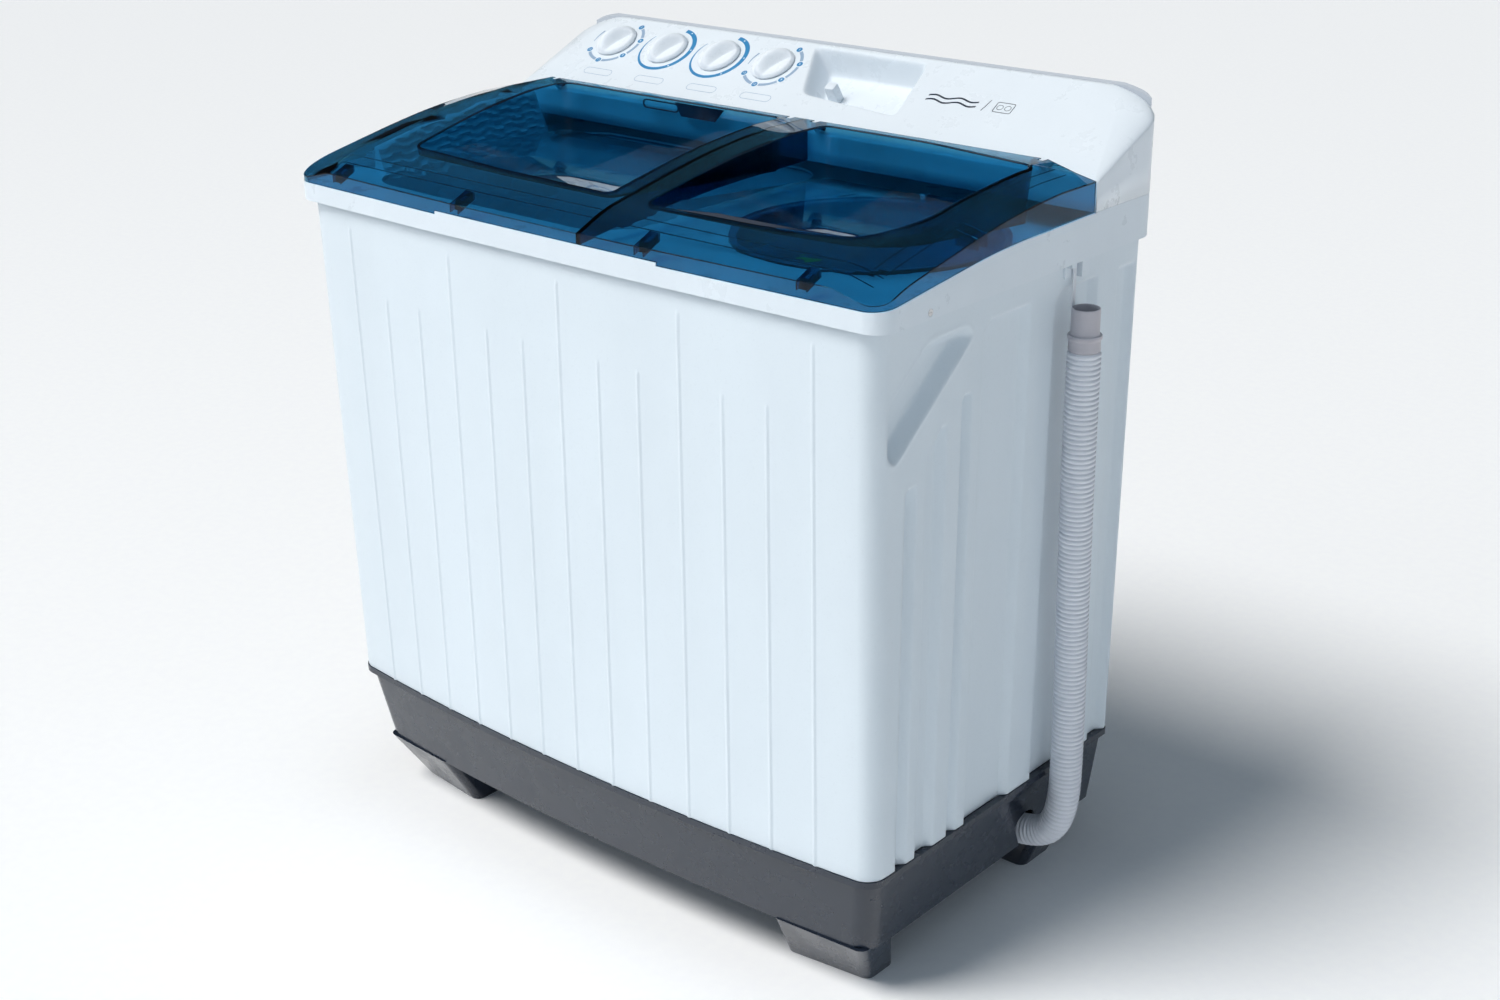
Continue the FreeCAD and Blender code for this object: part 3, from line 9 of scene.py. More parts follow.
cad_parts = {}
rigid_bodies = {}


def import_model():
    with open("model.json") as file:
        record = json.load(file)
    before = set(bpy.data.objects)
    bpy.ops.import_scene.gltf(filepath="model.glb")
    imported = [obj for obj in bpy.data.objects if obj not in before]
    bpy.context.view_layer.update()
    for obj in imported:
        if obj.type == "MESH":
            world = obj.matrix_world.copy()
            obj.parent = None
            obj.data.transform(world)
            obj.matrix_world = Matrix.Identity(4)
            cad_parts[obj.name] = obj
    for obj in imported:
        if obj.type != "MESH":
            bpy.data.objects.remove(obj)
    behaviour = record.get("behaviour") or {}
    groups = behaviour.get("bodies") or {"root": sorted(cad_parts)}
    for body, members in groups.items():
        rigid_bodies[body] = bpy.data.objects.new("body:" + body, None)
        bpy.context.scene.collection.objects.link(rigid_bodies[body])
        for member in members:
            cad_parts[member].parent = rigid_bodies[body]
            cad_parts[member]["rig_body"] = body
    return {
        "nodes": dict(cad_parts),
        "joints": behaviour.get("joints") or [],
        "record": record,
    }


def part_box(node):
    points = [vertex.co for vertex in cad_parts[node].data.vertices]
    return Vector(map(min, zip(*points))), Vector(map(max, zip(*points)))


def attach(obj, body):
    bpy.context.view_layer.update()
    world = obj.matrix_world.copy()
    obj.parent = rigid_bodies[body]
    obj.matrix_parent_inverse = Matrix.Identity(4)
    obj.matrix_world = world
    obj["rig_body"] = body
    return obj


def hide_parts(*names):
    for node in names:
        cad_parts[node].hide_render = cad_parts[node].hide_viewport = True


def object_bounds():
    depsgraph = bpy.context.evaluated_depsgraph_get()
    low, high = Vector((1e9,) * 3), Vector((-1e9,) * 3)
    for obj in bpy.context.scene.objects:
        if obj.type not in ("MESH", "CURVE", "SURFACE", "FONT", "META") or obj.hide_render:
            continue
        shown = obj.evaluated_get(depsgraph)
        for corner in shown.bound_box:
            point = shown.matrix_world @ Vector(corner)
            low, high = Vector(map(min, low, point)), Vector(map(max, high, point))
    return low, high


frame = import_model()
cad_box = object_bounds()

MM = 0.001
NODES = frame["nodes"]
JOINT_OF = {joint["child"]: joint for joint in frame["joints"]}
ROOT = "machine"

# Control points of the drain hose, from the elbow in the base up to the cuff.
HOSE_ROUTE = [(409, 118, 79.5), (440, 118, 84), (463, 118, 106), (473, 118, 145), (474, 118, 200),
              (474, 116, 300), (474, 111.5, 440), (474, 107, 600), (474, 107, 735)]
HOSE_DIAMETER = 0.040
RING_PITCH = 6.0 * MM

# The direction up the sloping panel, and out of it, follow from the way that the knobs point.
PANEL_OUT = -Vector(JOINT_OF["wash_timer_knob"]["axis"]).normalized()
PANEL_UP = PANEL_OUT.cross(Vector((1, 0, 0))).normalized()
GRIP_ANGLE = 62.0
KNOBS = ["wash_timer_knob", "wash_selector_knob", "drain_selector_knob", "spin_timer_knob"]


# ---------------------------------------------------------------- shader helpers
class Shader:
    """A node material with one Principled shader, and short ways to feed it."""

    def __init__(self, name):
        self.material = bpy.data.materials.new(name)
        self.material.use_nodes = True
        self.tree = self.material.node_tree
        self.tree.nodes.clear()
        self.output = self.add("ShaderNodeOutputMaterial")
        self.principled = self.add("ShaderNodeBsdfPrincipled")
        self.link(self.principled.outputs[0], self.output.inputs["Surface"])
        self.place = self.add("ShaderNodeTexCoord").outputs["Object"]

    def add(self, kind, **settings):
        node = self.tree.nodes.new(kind)
        for key, value in settings.items():
            setattr(node, key, value)
        return node

    def link(self, source, target):
        self.tree.links.new(source, target)

    def set(self, **values):
        for name, value in values.items():
            self.principled.inputs[name.replace("_", " ")].default_value = value

    def noise(self, scale, detail=2.0, roughness=0.5, stretch=None):
        """A noise whose scale is in features per metre."""
        node = self.add("ShaderNodeTexNoise")
        node.inputs["Scale"].default_value = scale
        node.inputs["Detail"].default_value = detail
        node.inputs["Roughness"].default_value = roughness
        if stretch:
            mapping = self.add("ShaderNodeMapping")
            mapping.inputs["Scale"].default_value = stretch
            self.link(self.place, mapping.inputs["Vector"])
            self.link(mapping.outputs[0], node.inputs["Vector"])
        else:
            self.link(self.place, node.inputs["Vector"])
        return node.outputs["Fac"]

    def spread(self, source, low, high, start=0.35, end=0.65):
        """Maps a factor between start and end on to the range from low to high."""
        node = self.add("ShaderNodeMapRange")
        for name, value in zip(("From Min", "From Max", "To Min", "To Max"), (start, end, low, high)):
            node.inputs[name].default_value = value
        self.link(source, node.inputs["Value"])
        return node.outputs["Result"]

    def blend(self, factor, first, second):
        node = self.add("ShaderNodeMix", data_type="RGBA")
        self.link(factor, node.inputs["Factor"])
        for socket, value in ((node.inputs["A"], first), (node.inputs["B"], second)):
            if isinstance(value, tuple):
                socket.default_value = (*value, 1)
            else:
                self.link(value, socket)
        return node.outputs["Result"]

    def bump(self, height, distance, strength=1.0, under=None):
        node = self.add("ShaderNodeBump")
        node.inputs["Distance"].default_value = distance
        node.inputs["Strength"].default_value = strength
        self.link(height, node.inputs["Height"])
        if under:
            self.link(under, node.inputs["Normal"])
        return node.outputs["Normal"]

    def feed(self, **sources):
        for name, source in sources.items():
            self.link(source, self.principled.inputs[name.replace("_", " ")])


def srgb(red, green, blue):
    """Linear colour from the usual 0 to 255 numbers."""
    def linear(value):
        share = value / 255
        return share / 12.92 if share <= 0.04045 else ((share + 0.055) / 1.055) ** 2.4
    return (linear(red), linear(green), linear(blue))


def darker(colour, share):
    return tuple(value * share for value in colour)


# ---------------------------------------------------------------- materials
def moulded_plastic(name, colour, roughness=0.35, grain=0.02, grain_scale=900, marks=0.06, coat=0.0,
                    dust_share=0.35):
    """Moulded plastic: faint flow marks in its colour, handling marks in its gloss, fine skin grain."""
    shader = Shader(name)
    flow = shader.noise(7, 4, 0.6, (1, 1, 0.35))
    tint = shader.blend(shader.spread(flow, 0, 1), darker(colour, 1 - marks), colour)
    dust = shader.spread(shader.noise(340, 2), 0, dust_share, 0.58, 0.78)
    tint = shader.blend(dust, tint, darker(colour, 0.90))
    wear = shader.spread(shader.noise(24, 5, 0.65), roughness - 0.06, roughness + 0.10)
    fine = shader.bump(shader.noise(grain_scale, 2), grain * MM, 0.55)
    wavy = shader.bump(shader.noise(16, 1), 0.25 * MM, 0.35, fine)
    shader.feed(Base_Color=tint, Roughness=wear, Normal=wavy)
    shader.set(IOR=1.49, Coat_Weight=coat, Coat_Roughness=0.12)
    return shader.material


def clear_plastic(name, colour, roughness=0.03, shadow=None, bend=1.46):
    """Tinted clear plastic that lets light through in its own colour, with fine hairline scuffs."""
    shader = Shader(name)
    scuffs = shader.spread(shader.noise(60, 6, 0.75, (1, 0.12, 1)), roughness, roughness + 0.04, 0.58, 0.78)
    ripple = shader.bump(shader.noise(22, 1), 0.20 * MM, 0.25)
    tint = shader.blend(shader.spread(shader.noise(9, 3), 0, 1), darker(colour, 0.90), colour)
    shader.feed(Base_Color=tint, Roughness=scuffs, Normal=ripple)
    shader.set(IOR=bend, Transmission_Weight=1.0)
    lets_light = shader.add("ShaderNodeBsdfTransparent")
    lets_light.inputs["Color"].default_value = (*(shadow or colour), 1)
    mix = shader.add("ShaderNodeMixShader")
    shader.link(shader.add("ShaderNodeLightPath").outputs["Is Shadow Ray"], mix.inputs["Fac"])
    shader.link(shader.principled.outputs[0], mix.inputs[1])
    shader.link(lets_light.outputs[0], mix.inputs[2])
    shader.link(mix.outputs[0], shader.output.inputs["Surface"])
    return shader.material


def rubber(name, colour):
    shader = Shader(name)
    bloom = shader.spread(shader.noise(35, 5, 0.6), 0, 0.5)
    shader.feed(Base_Color=shader.blend(bloom, colour, srgb(92, 92, 94)),
                Roughness=shader.spread(shader.noise(80, 3), 0.6, 0.85),
                Normal=shader.bump(shader.noise(1500, 2), 0.02 * MM, 0.6))
    shader.set(Specular_IOR_Level=0.35)
    return shader.material


def bare_steel(name, colour, stretch=(1, 1, 40), roughness=0.28):
    """Ground or rolled steel: fine lines one way and a little tarnish."""
    shader = Shader(name)
    lines = shader.noise(180, 3, 0.6, stretch)
    tarnish = shader.spread(shader.noise(30, 4, 0.7), 0, 0.6, 0.45, 0.75)
    shader.feed(Base_Color=shader.blend(tarnish, colour, darker(colour, 0.62)),
                Roughness=shader.spread(lines, roughness - 0.08, roughness + 0.14),
                Normal=shader.bump(lines, 0.01 * MM, 0.5))
    shader.set(Metallic=1.0)
    return shader.material


def plated_sheet(name):
    """Zinc plated sheet with its mottled spangle."""
    shader = Shader(name)
    cells = shader.add("ShaderNodeTexVoronoi")
    cells.inputs["Scale"].default_value = 110
    shader.link(shader.place, cells.inputs["Vector"])
    spangle = shader.spread(cells.outputs["Distance"], 0, 1, 0.0, 0.9)
    shader.feed(Base_Color=shader.blend(spangle, srgb(196, 198, 196), srgb(160, 163, 165)),
                Roughness=shader.spread(shader.noise(60, 4), 0.32, 0.52),
                Normal=shader.bump(shader.noise(400, 2), 0.01 * MM, 0.5))
    shader.set(Metallic=0.9)
    return shader.material


def cast_metal(name, colour, metallic):
    shader = Shader(name)
    sand = shader.noise(600, 3, 0.7)
    oil = shader.spread(shader.noise(14, 4), 0, 0.7, 0.45, 0.7)
    shader.feed(Base_Color=shader.blend(oil, colour, darker(colour, 0.55)),
                Roughness=shader.spread(shader.noise(50, 4), 0.42, 0.7),
                Normal=shader.bump(sand, 0.08 * MM, 0.6))
    shader.set(Metallic=metallic)
    return shader.material


def laminated_metal(name):
    """A motor's painted stack of laminations: fine level lines."""
    shader = Shader(name)
    lines = shader.noise(900, 1, 0.5, (0.01, 0.01, 1))
    shader.feed(Base_Color=shader.blend(shader.spread(lines, 0, 1), srgb(58, 60, 64), srgb(92, 95, 100)),
                Roughness=shader.spread(shader.noise(40, 4), 0.35, 0.6),
                Normal=shader.bump(lines, 0.08 * MM, 0.6))
    shader.set(Metallic=0.5)
    return shader.material


def printed_ink(name, colour):
    """Screen-printed ink: a flat film with tiny pinholes in its gloss."""
    shader = Shader(name)
    holes = shader.spread(shader.noise(2400, 2), 0, 0.25, 0.6, 0.8)
    shader.feed(Base_Color=shader.blend(holes, colour, srgb(236, 243, 248)),
                Roughness=shader.spread(shader.noise(300, 2), 0.32, 0.46),
                Normal=shader.bump(shader.noise(1800, 1), 0.006 * MM, 0.4))
    return shader.material


WHITE = srgb(228, 235, 241)
MATERIALS = {
    "base_grey": moulded_plastic("Base_plastic", srgb(35, 43, 56), 0.26, 0.012, 1400, 0.05, 0.3, 0.25),
    "cabinet_white": moulded_plastic("Cabinet_plastic", srgb(219, 229, 236), 0.36, 0.02, 1100, 0.03),
    "frame_white": moulded_plastic("Frame_plastic", srgb(222, 231, 238), 0.32, 0.015, 1100, 0.03),
    "panel_white": moulded_plastic("Panel_plastic", WHITE, 0.30, 0.012, 1300, 0.02, 0.1),
    "cover_grey": moulded_plastic("Cover_plastic", srgb(190, 196, 204), 0.5, 0.04, 900, 0.06),
    "lid_blue": clear_plastic("Lid_blue", srgb(62, 138, 170), 0.0, srgb(190, 222, 236), 1.30),
    # lid_edge's dark navy also draws the recess rims, creases and steps of the clear lids as painted shade
    # lines.
    "lid_edge": moulded_plastic("Lid_edge", srgb(10, 30, 54), 0.12, 0.01, 900, 0.05, 0.4, 0.1),
    "inner_lid_clear": clear_plastic("Inner_lid", srgb(168, 206, 226), 0.12),
    "tub_white": moulded_plastic("Tub_plastic", srgb(222, 234, 243), 0.3, 0.02, 900, 0.05, 0.2),
    "tub_blue": moulded_plastic("Tub_blue_plastic", srgb(96, 158, 204), 0.34, 0.02, 900, 0.08),
    "basket_white": moulded_plastic("Basket_plastic", srgb(224, 233, 240), 0.32, 0.02, 900, 0.05),
    "knob_white": moulded_plastic("Knob_plastic", srgb(238, 243, 248), 0.28, 0.010, 1500, 0.02, 0.15),
    "switch_body": moulded_plastic("Switch_plastic", srgb(214, 205, 180), 0.5, 0.03, 900, 0.08),
    "hose_grey": moulded_plastic("Hose_plastic", srgb(230, 232, 238), 0.42, 0.03, 1300, 0.06),
    "cuff_grey": moulded_plastic("Cuff_plastic", srgb(190, 186, 192), 0.42, 0.03, 1300, 0.05),
    "strap_nylon": moulded_plastic("Strap_nylon", srgb(222, 226, 232), 0.4, 0.02, 1500, 0.05),
    "black_rubber": rubber("Black_rubber", srgb(34, 34, 36)),
    "shaft_steel": bare_steel("Shaft_steel", srgb(205, 206, 208)),
    "spring_steel": bare_steel("Spring_steel", srgb(140, 142, 148), (6, 6, 6), 0.34),
    "screw_steel": bare_steel("Screw_steel", srgb(214, 214, 216), (3, 3, 3), 0.25),
    "plated_steel": plated_sheet("Plated_sheet"),
    "cast_metal": cast_metal("Cast_housing", srgb(168, 171, 176), 0.85),
    "motor_metal": laminated_metal("Motor_laminations"),
    "pulley_plastic": moulded_plastic("Pulley_nylon", srgb(46, 47, 50), 0.5, 0.04, 1000, 0.15),
    "capacitor_shell": moulded_plastic("Capacitor_shell", srgb(222, 222, 214), 0.3, 0.01, 900, 0.04),
}
INK_BLUE = printed_ink("Ink_blue", srgb(58, 134, 184))
INK_PALE = printed_ink("Ink_pale_blue", srgb(150, 172, 196))
INK_DARK = printed_ink("Ink_dark", srgb(34, 44, 58))
INK_WHITE = printed_ink("Ink_white", srgb(236, 243, 250))
INK_GREEN = printed_ink("Ink_green", srgb(46, 150, 48))


def paint_cad_nodes():
    """Gives every node of the frame the material of its slot."""
    for subpart in frame["record"]["subparts"]:
        data = NODES[subpart["node"]].data
        data.materials.clear()
        data.materials.append(MATERIALS[subpart["material_slot"]])


SLOT_OF = {subpart["node"]: subpart["material_slot"] for subpart in frame["record"]["subparts"]}


# ---------------------------------------------------------------- mesh helpers
def new_piece(name, mesh, material, body):
    """Links a mesh as a piece that rides on a body."""
    piece = bpy.data.objects.new(name, mesh)
    bpy.context.scene.collection.objects.link(piece)
    mesh.materials.clear()
    mesh.materials.append(material)
    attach(piece, body)
    return piece


def mesh_of(name, points, faces, sharp=38):
    """A mesh shaded smooth except across bends of more than sharp degrees; flat if sharp is 0."""
    mesh = bpy.data.meshes.new(name)
    mesh.from_pydata([tuple(point) for point in points], [], faces)
    tidy = bmesh.new()
    tidy.from_mesh(mesh)
    bmesh.ops.recalc_face_normals(tidy, faces=tidy.faces)
    tidy.to_mesh(mesh)
    tidy.free()
    for polygon in mesh.polygons:
        polygon.use_smooth = sharp > 0
    if sharp:
        mesh.set_sharp_from_angle(angle=math.radians(sharp))
    return mesh


def ring_faces(rows, count):
    """Faces that join rows of points, where each row is a closed ring of count points."""
    faces = []
    for row in range(rows - 1):
        for index in range(count):
            after = (index + 1) % count
            faces.append((row * count + index, row * count + after,
                          (row + 1) * count + after, (row + 1) * count + index))
    return faces


def applied(piece):
    """Replaces a piece's mesh by what its modifiers make of it."""
    bpy.context.view_layer.update()
    result = bpy.data.meshes.new_from_object(piece.evaluated_get(bpy.context.evaluated_depsgraph_get()))
    piece.modifiers.clear()
    piece.data = result


def thicken(piece, thickness, side=-1):
    """Gives a single skin its wall, behind its normals, or in front of them if side is 1."""
    wall = piece.modifiers.new("Wall", "SOLIDIFY")
    wall.thickness = thickness
    wall.offset = side
    applied(piece)


def rounded_copy(node, radius):
    """A copy of a CAD node with its edges rounded, which stands for the node."""
    mesh = NODES[node].data.copy()
    shape = bmesh.new()
    shape.from_mesh(mesh)
    bmesh.ops.remove_doubles(shape, verts=shape.verts, dist=0.005 * MM)
    bmesh.ops.dissolve_limit(shape, angle_limit=math.radians(0.8), verts=shape.verts, edges=shape.edges)
    shape.to_mesh(mesh)
    shape.free()
    for polygon in mesh.polygons:
        polygon.use_smooth = True
    body = NODES[node]["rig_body"]
    slot = SLOT_OF[node]
    piece = new_piece(node + "_moulded", mesh, MATERIALS[slot], body)
    bevel = piece.modifiers.new("Rounding", "BEVEL")
    bevel.limit_method = "ANGLE"
    bevel.angle_limit = math.radians(30)
    bevel.width = radius
    bevel.segments = 2
    bevel.use_clamp_overlap = True
    bevel.miter_outer = "MITER_ARC"
    normals = piece.modifiers.new("Normals", "WEIGHTED_NORMAL")
    normals.keep_sharp = False
    applied(piece)
    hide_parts(node)
    return piece


# ---------------------------------------------------------------- cabinet skin
CABINET_LOW, CABINET_TOP = (corner.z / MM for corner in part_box("cabinet"))
CABINET_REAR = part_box("cabinet")[1].y / MM
CABINET_HALF_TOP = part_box("cabinet")[1].x / MM
RIB_PROUD = 1.3
CABINET_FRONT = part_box("cabinet")[0].y / MM + RIB_PROUD
CABINET_HALF_LOW = CABINET_HALF_TOP - 4.5
BOW_LOW, BOW_TOP = 24.0, 7.0
FRONT_CORNER, REAR_CORNER = 27.0, 12.0
RIB_PITCH, RIB_HALF = 61.4, 3.0
RIB_COUNT = 13
BEAD_TOP, LONG_BEAD_TOP = 733, 814   # every third bead is a long one
BEAD_STOPS = (-4.5, -3.2, -2.4, -1.5, -0.8, 0, 0.8, 1.5, 2.4, 3.2, 4.5)
# Each upright channel in the side: front edge, rear edge, top, and how far its top corner is cut.
SIDE_CHANNELS = [(-197, -176, 650, 6), (-160, -124, 704, 26), (-98, -79, 730, 6),
                 (-62, 30, 805, 14), (78, 168, 806, 14), (210, 250, 805, 4)]
CHANNEL_DEPTH = 8.0
GRIP_OUTLINE = [(-92, 807), (-162, 807), (-230, 752), (-230, 692), (-218, 684), (-82, 795)]
GRIP_DEPTH, GRIP_DRAFT = 15.5, 12.0
GRIP_MARGIN = 6                      # how far round the grip its border is looked for
(GRIP_FRONT, GRIP_REAR), (GRIP_LOW, GRIP_TOP) = [
    (min(values) - GRIP_MARGIN, max(values) + GRIP_MARGIN) for values in zip(*GRIP_OUTLINE)]
SERVICE_HOLE = (190, 230, 640)       # half width, bottom and top of the opening in the back


def ramp(share, soft=0.16):
    """0 below 0 and 1 above 1, straight between, with both bends rounded."""
    if share <= -soft:
        return 0.0
    if share < soft:
        return (share + soft) ** 2 / (4 * soft)
    if share <= 1 - soft:
        return share
    if share < 1 + soft:
        return 1 - (1 + soft - share) ** 2 / (4 * soft)
    return 1.0


def inside_distance(outline, first, second, blend=2.0):
    """How far a point is inside a convex outline, with the outline's corners rounded."""
    total = 0.0
    area = sum(a[0] * b[1] - b[0] * a[1] for a, b in zip(outline, outline[1:] + outline[:1]))
    turn = 1 if area > 0 else -1
    for a, b in zip(outline, outline[1:] + outline[:1]):
        length = math.hypot(b[0] - a[0], b[1] - a[1])
        distance = ((b[0] - a[0]) * (second - a[1]) - (b[1] - a[1]) * (first - a[0])) * turn / length
        total += math.exp(min(60.0, -distance / blend))
    return -blend * math.log(total)


def side_depth(y, z):
    """How deep the cabinet's side is pressed in."""
    depth = 0.0
    for front, rear, top, cut in SIDE_CHANNELS:
        if front - 2 < y < rear + 2 and z < top + 2:
            splay = min(10.0, 0.4 * (rear - front))
            corner = ((y - front) + (top - z) - cut) * math.sqrt(0.5)
            share = min(ramp((y - front) / 2.6), ramp((rear - y) / splay), ramp((top - z) / 4.0),
                        ramp(corner / 3.4))
            depth = max(depth, CHANNEL_DEPTH * share)
    if GRIP_FRONT < y < GRIP_REAR and GRIP_LOW < z < GRIP_TOP:
        distance = inside_distance(GRIP_OUTLINE, y, z, 3.0)
        if distance > -5:
            border = 0.7 * ramp((distance + 5) / 1.5) * ramp((0.5 - distance) / 1.5)
            depth = max(depth, GRIP_DEPTH * ramp(distance / GRIP_DRAFT, 0.2)) - border
    return depth


def front_depth(x, z):
    """The fine upright beads on the front stand proud, so their depth is negative."""
    index = round(x / RIB_PITCH)
    if abs(index) > RIB_COUNT // 2:
        return 0.0
    top = LONG_BEAD_TOP if index % 3 == 0 else BEAD_TOP
    across = abs(x - index * RIB_PITCH) / RIB_HALF
    return -RIB_PROUD * ramp((1 - across) * 1.5, 0.3) * ramp((top - z) / 5.0, 0.3)


def plan_line(share):
    """The cabinet's front bow and corners at a height: touch point, corner centre and their angle."""
    half = CABINET_HALF_LOW + share * (CABINET_HALF_TOP - CABINET_HALF_LOW)
    bow = BOW_LOW + share * (BOW_TOP - BOW_LOW)
    radius = (half ** 2 + bow ** 2) / (2 * bow)
    centre_y = CABINET_FRONT + radius
    corner_x = half - FRONT_CORNER
    corner_y = centre_y - math.sqrt((radius - FRONT_CORNER) ** 2 - corner_x ** 2)
    angle = math.atan2(corner_x, centre_y - corner_y)
    return half, radius, centre_y, corner_x, corner_y, angle


def spaced(stops, gap):
    """Sorted stops with closely following ones left out."""
    kept = []
    for stop in sorted(stops):
        if not kept or stop - kept[-1] > gap:
            kept.append(stop)
    return kept


def front_stops():
    """Distances across the front: close together over each bead."""
    stops = []
    for index in range(-(RIB_COUNT // 2), RIB_COUNT // 2 + 1):
        stops += [index * RIB_PITCH + offset for offset in BEAD_STOPS]
        stops += [(index + 0.5) * RIB_PITCH]
    return spaced([stop for stop in stops if abs(stop) < 415], 0.3)


def side_stops():
    """Distances along the side: close together at the walls of each channel."""
    stops = [-197 + 2.6 * index for index in range(47)]
    for front, rear, _, cut in SIDE_CHANNELS:
        splay = min(10.0, 0.4 * (rear - front))
        stops += [front + offset for offset in (-2, -0.6, 0, 0.6, 1.3, 2.0, 2.6, 3.4)]
        stops += [rear - splay - 2, rear - splay - 0.8, rear - splay, rear - splay / 2]
        stops += [rear + offset for offset in (-0.8, 0, 0.8, 2)]
        stops += [front + 2 * index for index in range(int(cut / 2) + 2)]
    return spaced([stop for stop in stops if -197 <= stop < 249.5], 0.45)


FRONT_STOPS = front_stops()
SIDE_STOPS = side_stops()


def cabinet_columns(share):
    """Plan points round the cabinet with their outward directions, and where each one is."""
    half, radius, centre_y, corner_x, corner_y, angle = plan_line(share)
    front = []
    for stop in FRONT_STOPS:
        lean = math.asin(stop * (1 + 0.01 * share) / radius)
        front.append((radius * math.sin(lean), centre_y - radius * math.cos(lean), math.sin(lean),
                      -math.cos(lean), "front", stop))
    corner = []
    for step in range(1, 12):
        turn = angle + (math.pi / 2 - angle) * step / 12
        corner.append((corner_x + FRONT_CORNER * math.sin(turn), corner_y - FRONT_CORNER * math.cos(turn),
                       math.sin(turn), -math.cos(turn), "side", None))
    side = []
    for step in range(14):
        y = corner_y + (SIDE_STOPS[0] - corner_y) * step / 14
        side.append((half, y, 1, 0, "side", y))
    side += [(half, y, 1, 0, "side", y) for y in SIDE_STOPS]
    rear = []
    for step in range(7):
        turn = math.pi / 2 * step / 6
        rear.append((half - REAR_CORNER + REAR_CORNER * math.cos(turn),
                     CABINET_REAR - REAR_CORNER + REAR_CORNER * math.sin(turn),
                     math.cos(turn), math.sin(turn), "plain", None))
    back = [(x, CABINET_REAR, 0, 1, "plain", None) for x in (400, 300, SERVICE_HOLE[0], 120, 60)]
    right_part = corner + side + rear + back
    left_part = [(-x, y, -nx, ny, zone, at) for x, y, nx, ny, zone, at in right_part[::-1]]
    return front + right_part + [(0, CABINET_REAR, 0, 1, "plain", None)] + left_part


def cabinet_depth(zone, place, z):
    """How deep the cabinet's surface is pressed in, on the front or on a side."""
    if place is None:
        return 0.0
    return front_depth(place, z) if zone == "front" else side_depth(place, z)


def cabinet():
    """The cabinet as one moulded skin: bowed front with beads, channels and a grip in each side."""
    rolled_edge = {0.0: 1.4, 0.6: 0.45, 1.8: 0.0}
    levels = [CABINET_LOW + rise for rise in rolled_edge] + [200, 215, SERVICE_HOLE[1], CABINET_TOP]
    levels += [SERVICE_HOLE[1] + 37 * step for step in range(1, 10)]
    levels += [600 + 2.4 * step for step in range(93)] + [SERVICE_HOLE[2], 830]
    levels = spaced(levels, 0.4)
    nearest = min(range(len(levels)), key=lambda index: abs(levels[index] - SERVICE_HOLE[2]))
    levels[nearest] = SERVICE_HOLE[2]
    places, faces = [], []
    for level in levels:
        share = (level - CABINET_LOW) / (CABINET_TOP - CABINET_LOW)
        tuck = rolled_edge.get(round(level - CABINET_LOW, 3), 0.0)
        columns = cabinet_columns(share)
        for x, y, out_x, out_y, zone, place in columns:
            depth = cabinet_depth(zone, place, level) + tuck
            places.append(((x - out_x * depth) * MM, (y - out_y * depth) * MM, level * MM))
    count = len(columns)
    open_back = [index for index, column in enumerate(columns)
                 if column[4] == "plain" and abs(column[0]) <= SERVICE_HOLE[0] and column[3] == 1]
    for row in range(len(levels) - 1):
        in_hole = SERVICE_HOLE[1] <= levels[row] < SERVICE_HOLE[2]
        for index in range(count):
            after = (index + 1) % count
            if in_hole and index in open_back and after in open_back:
                continue
            low, high = row * count, (row + 1) * count
            faces.append((low + index, low + after, high + after, high + index))
    skin = new_piece("cabinet_skin", mesh_of("cabinet_skin", places, faces, 80),
                     MATERIALS["cabinet_white"], ROOT)
    thicken(skin, 2.5 * MM)
    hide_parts("cabinet")


# ---------------------------------------------------------------- console skin
CONSOLE_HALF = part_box("control_panel")[1].x / MM
CONSOLE_BOTTOM, CONSOLE_FRONT, CONSOLE_FRONT_TOP = 889.3, 129.5, 925.0
CONSOLE_SPLIT = 266.0
REAR, HEIGHT = cad_box[1][1] / MM, cad_box[1][2] / MM
CONSOLE_CORNER = 32.0
FRONT_EDGE = 3.0
SLOPE = math.atan2(HEIGHT - CONSOLE_FRONT_TOP, REAR - CONSOLE_FRONT)
TRAY_OUTLINE = [(-6, 64), (150, 50), (136, 149), (-46, 152)]
TRAY_DEPTH, TRAY_DRAFT = 34.0, 12.0
TRAY_LEFT, TRAY_RIGHT = -60.0, 162.0
NOZZLE_PLACE = (14, 96)
KNUCKLES = [-390.0, 24.0, 64.0, 395.0]
HINGE_Y, HINGE_Z = 125.5, 936.0


def console_corner(y, top):
    """Half width at a depth, and the points of the rounded shoulder from its foot to its end."""
    share = (y - CONSOLE_FRONT) / (REAR - CONSOLE_FRONT)
    half = CONSOLE_HALF
    past = y - (REAR - CONSOLE_CORNER)
    if past > 0:
        half += math.sqrt(CONSOLE_CORNER ** 2 - past ** 2) - CONSOLE_CORNER
    across, down = 4 + 52 * share, 3 + 21 * share
    foot, bend, end = (half, top - down), (half - 0.18 * across, top - 0.32 * down), (half - across, top)
    shoulder = []
    for step in range(13):
        reach = step / 12
        weights = ((1 - reach) ** 2, 2 * reach * (1 - reach), reach ** 2)
        shoulder.append(tuple(sum(weight * point[axis] for weight, point in zip(weights, (foot, bend, end)))
                              for axis in (0, 1)))
    return half, shoulder


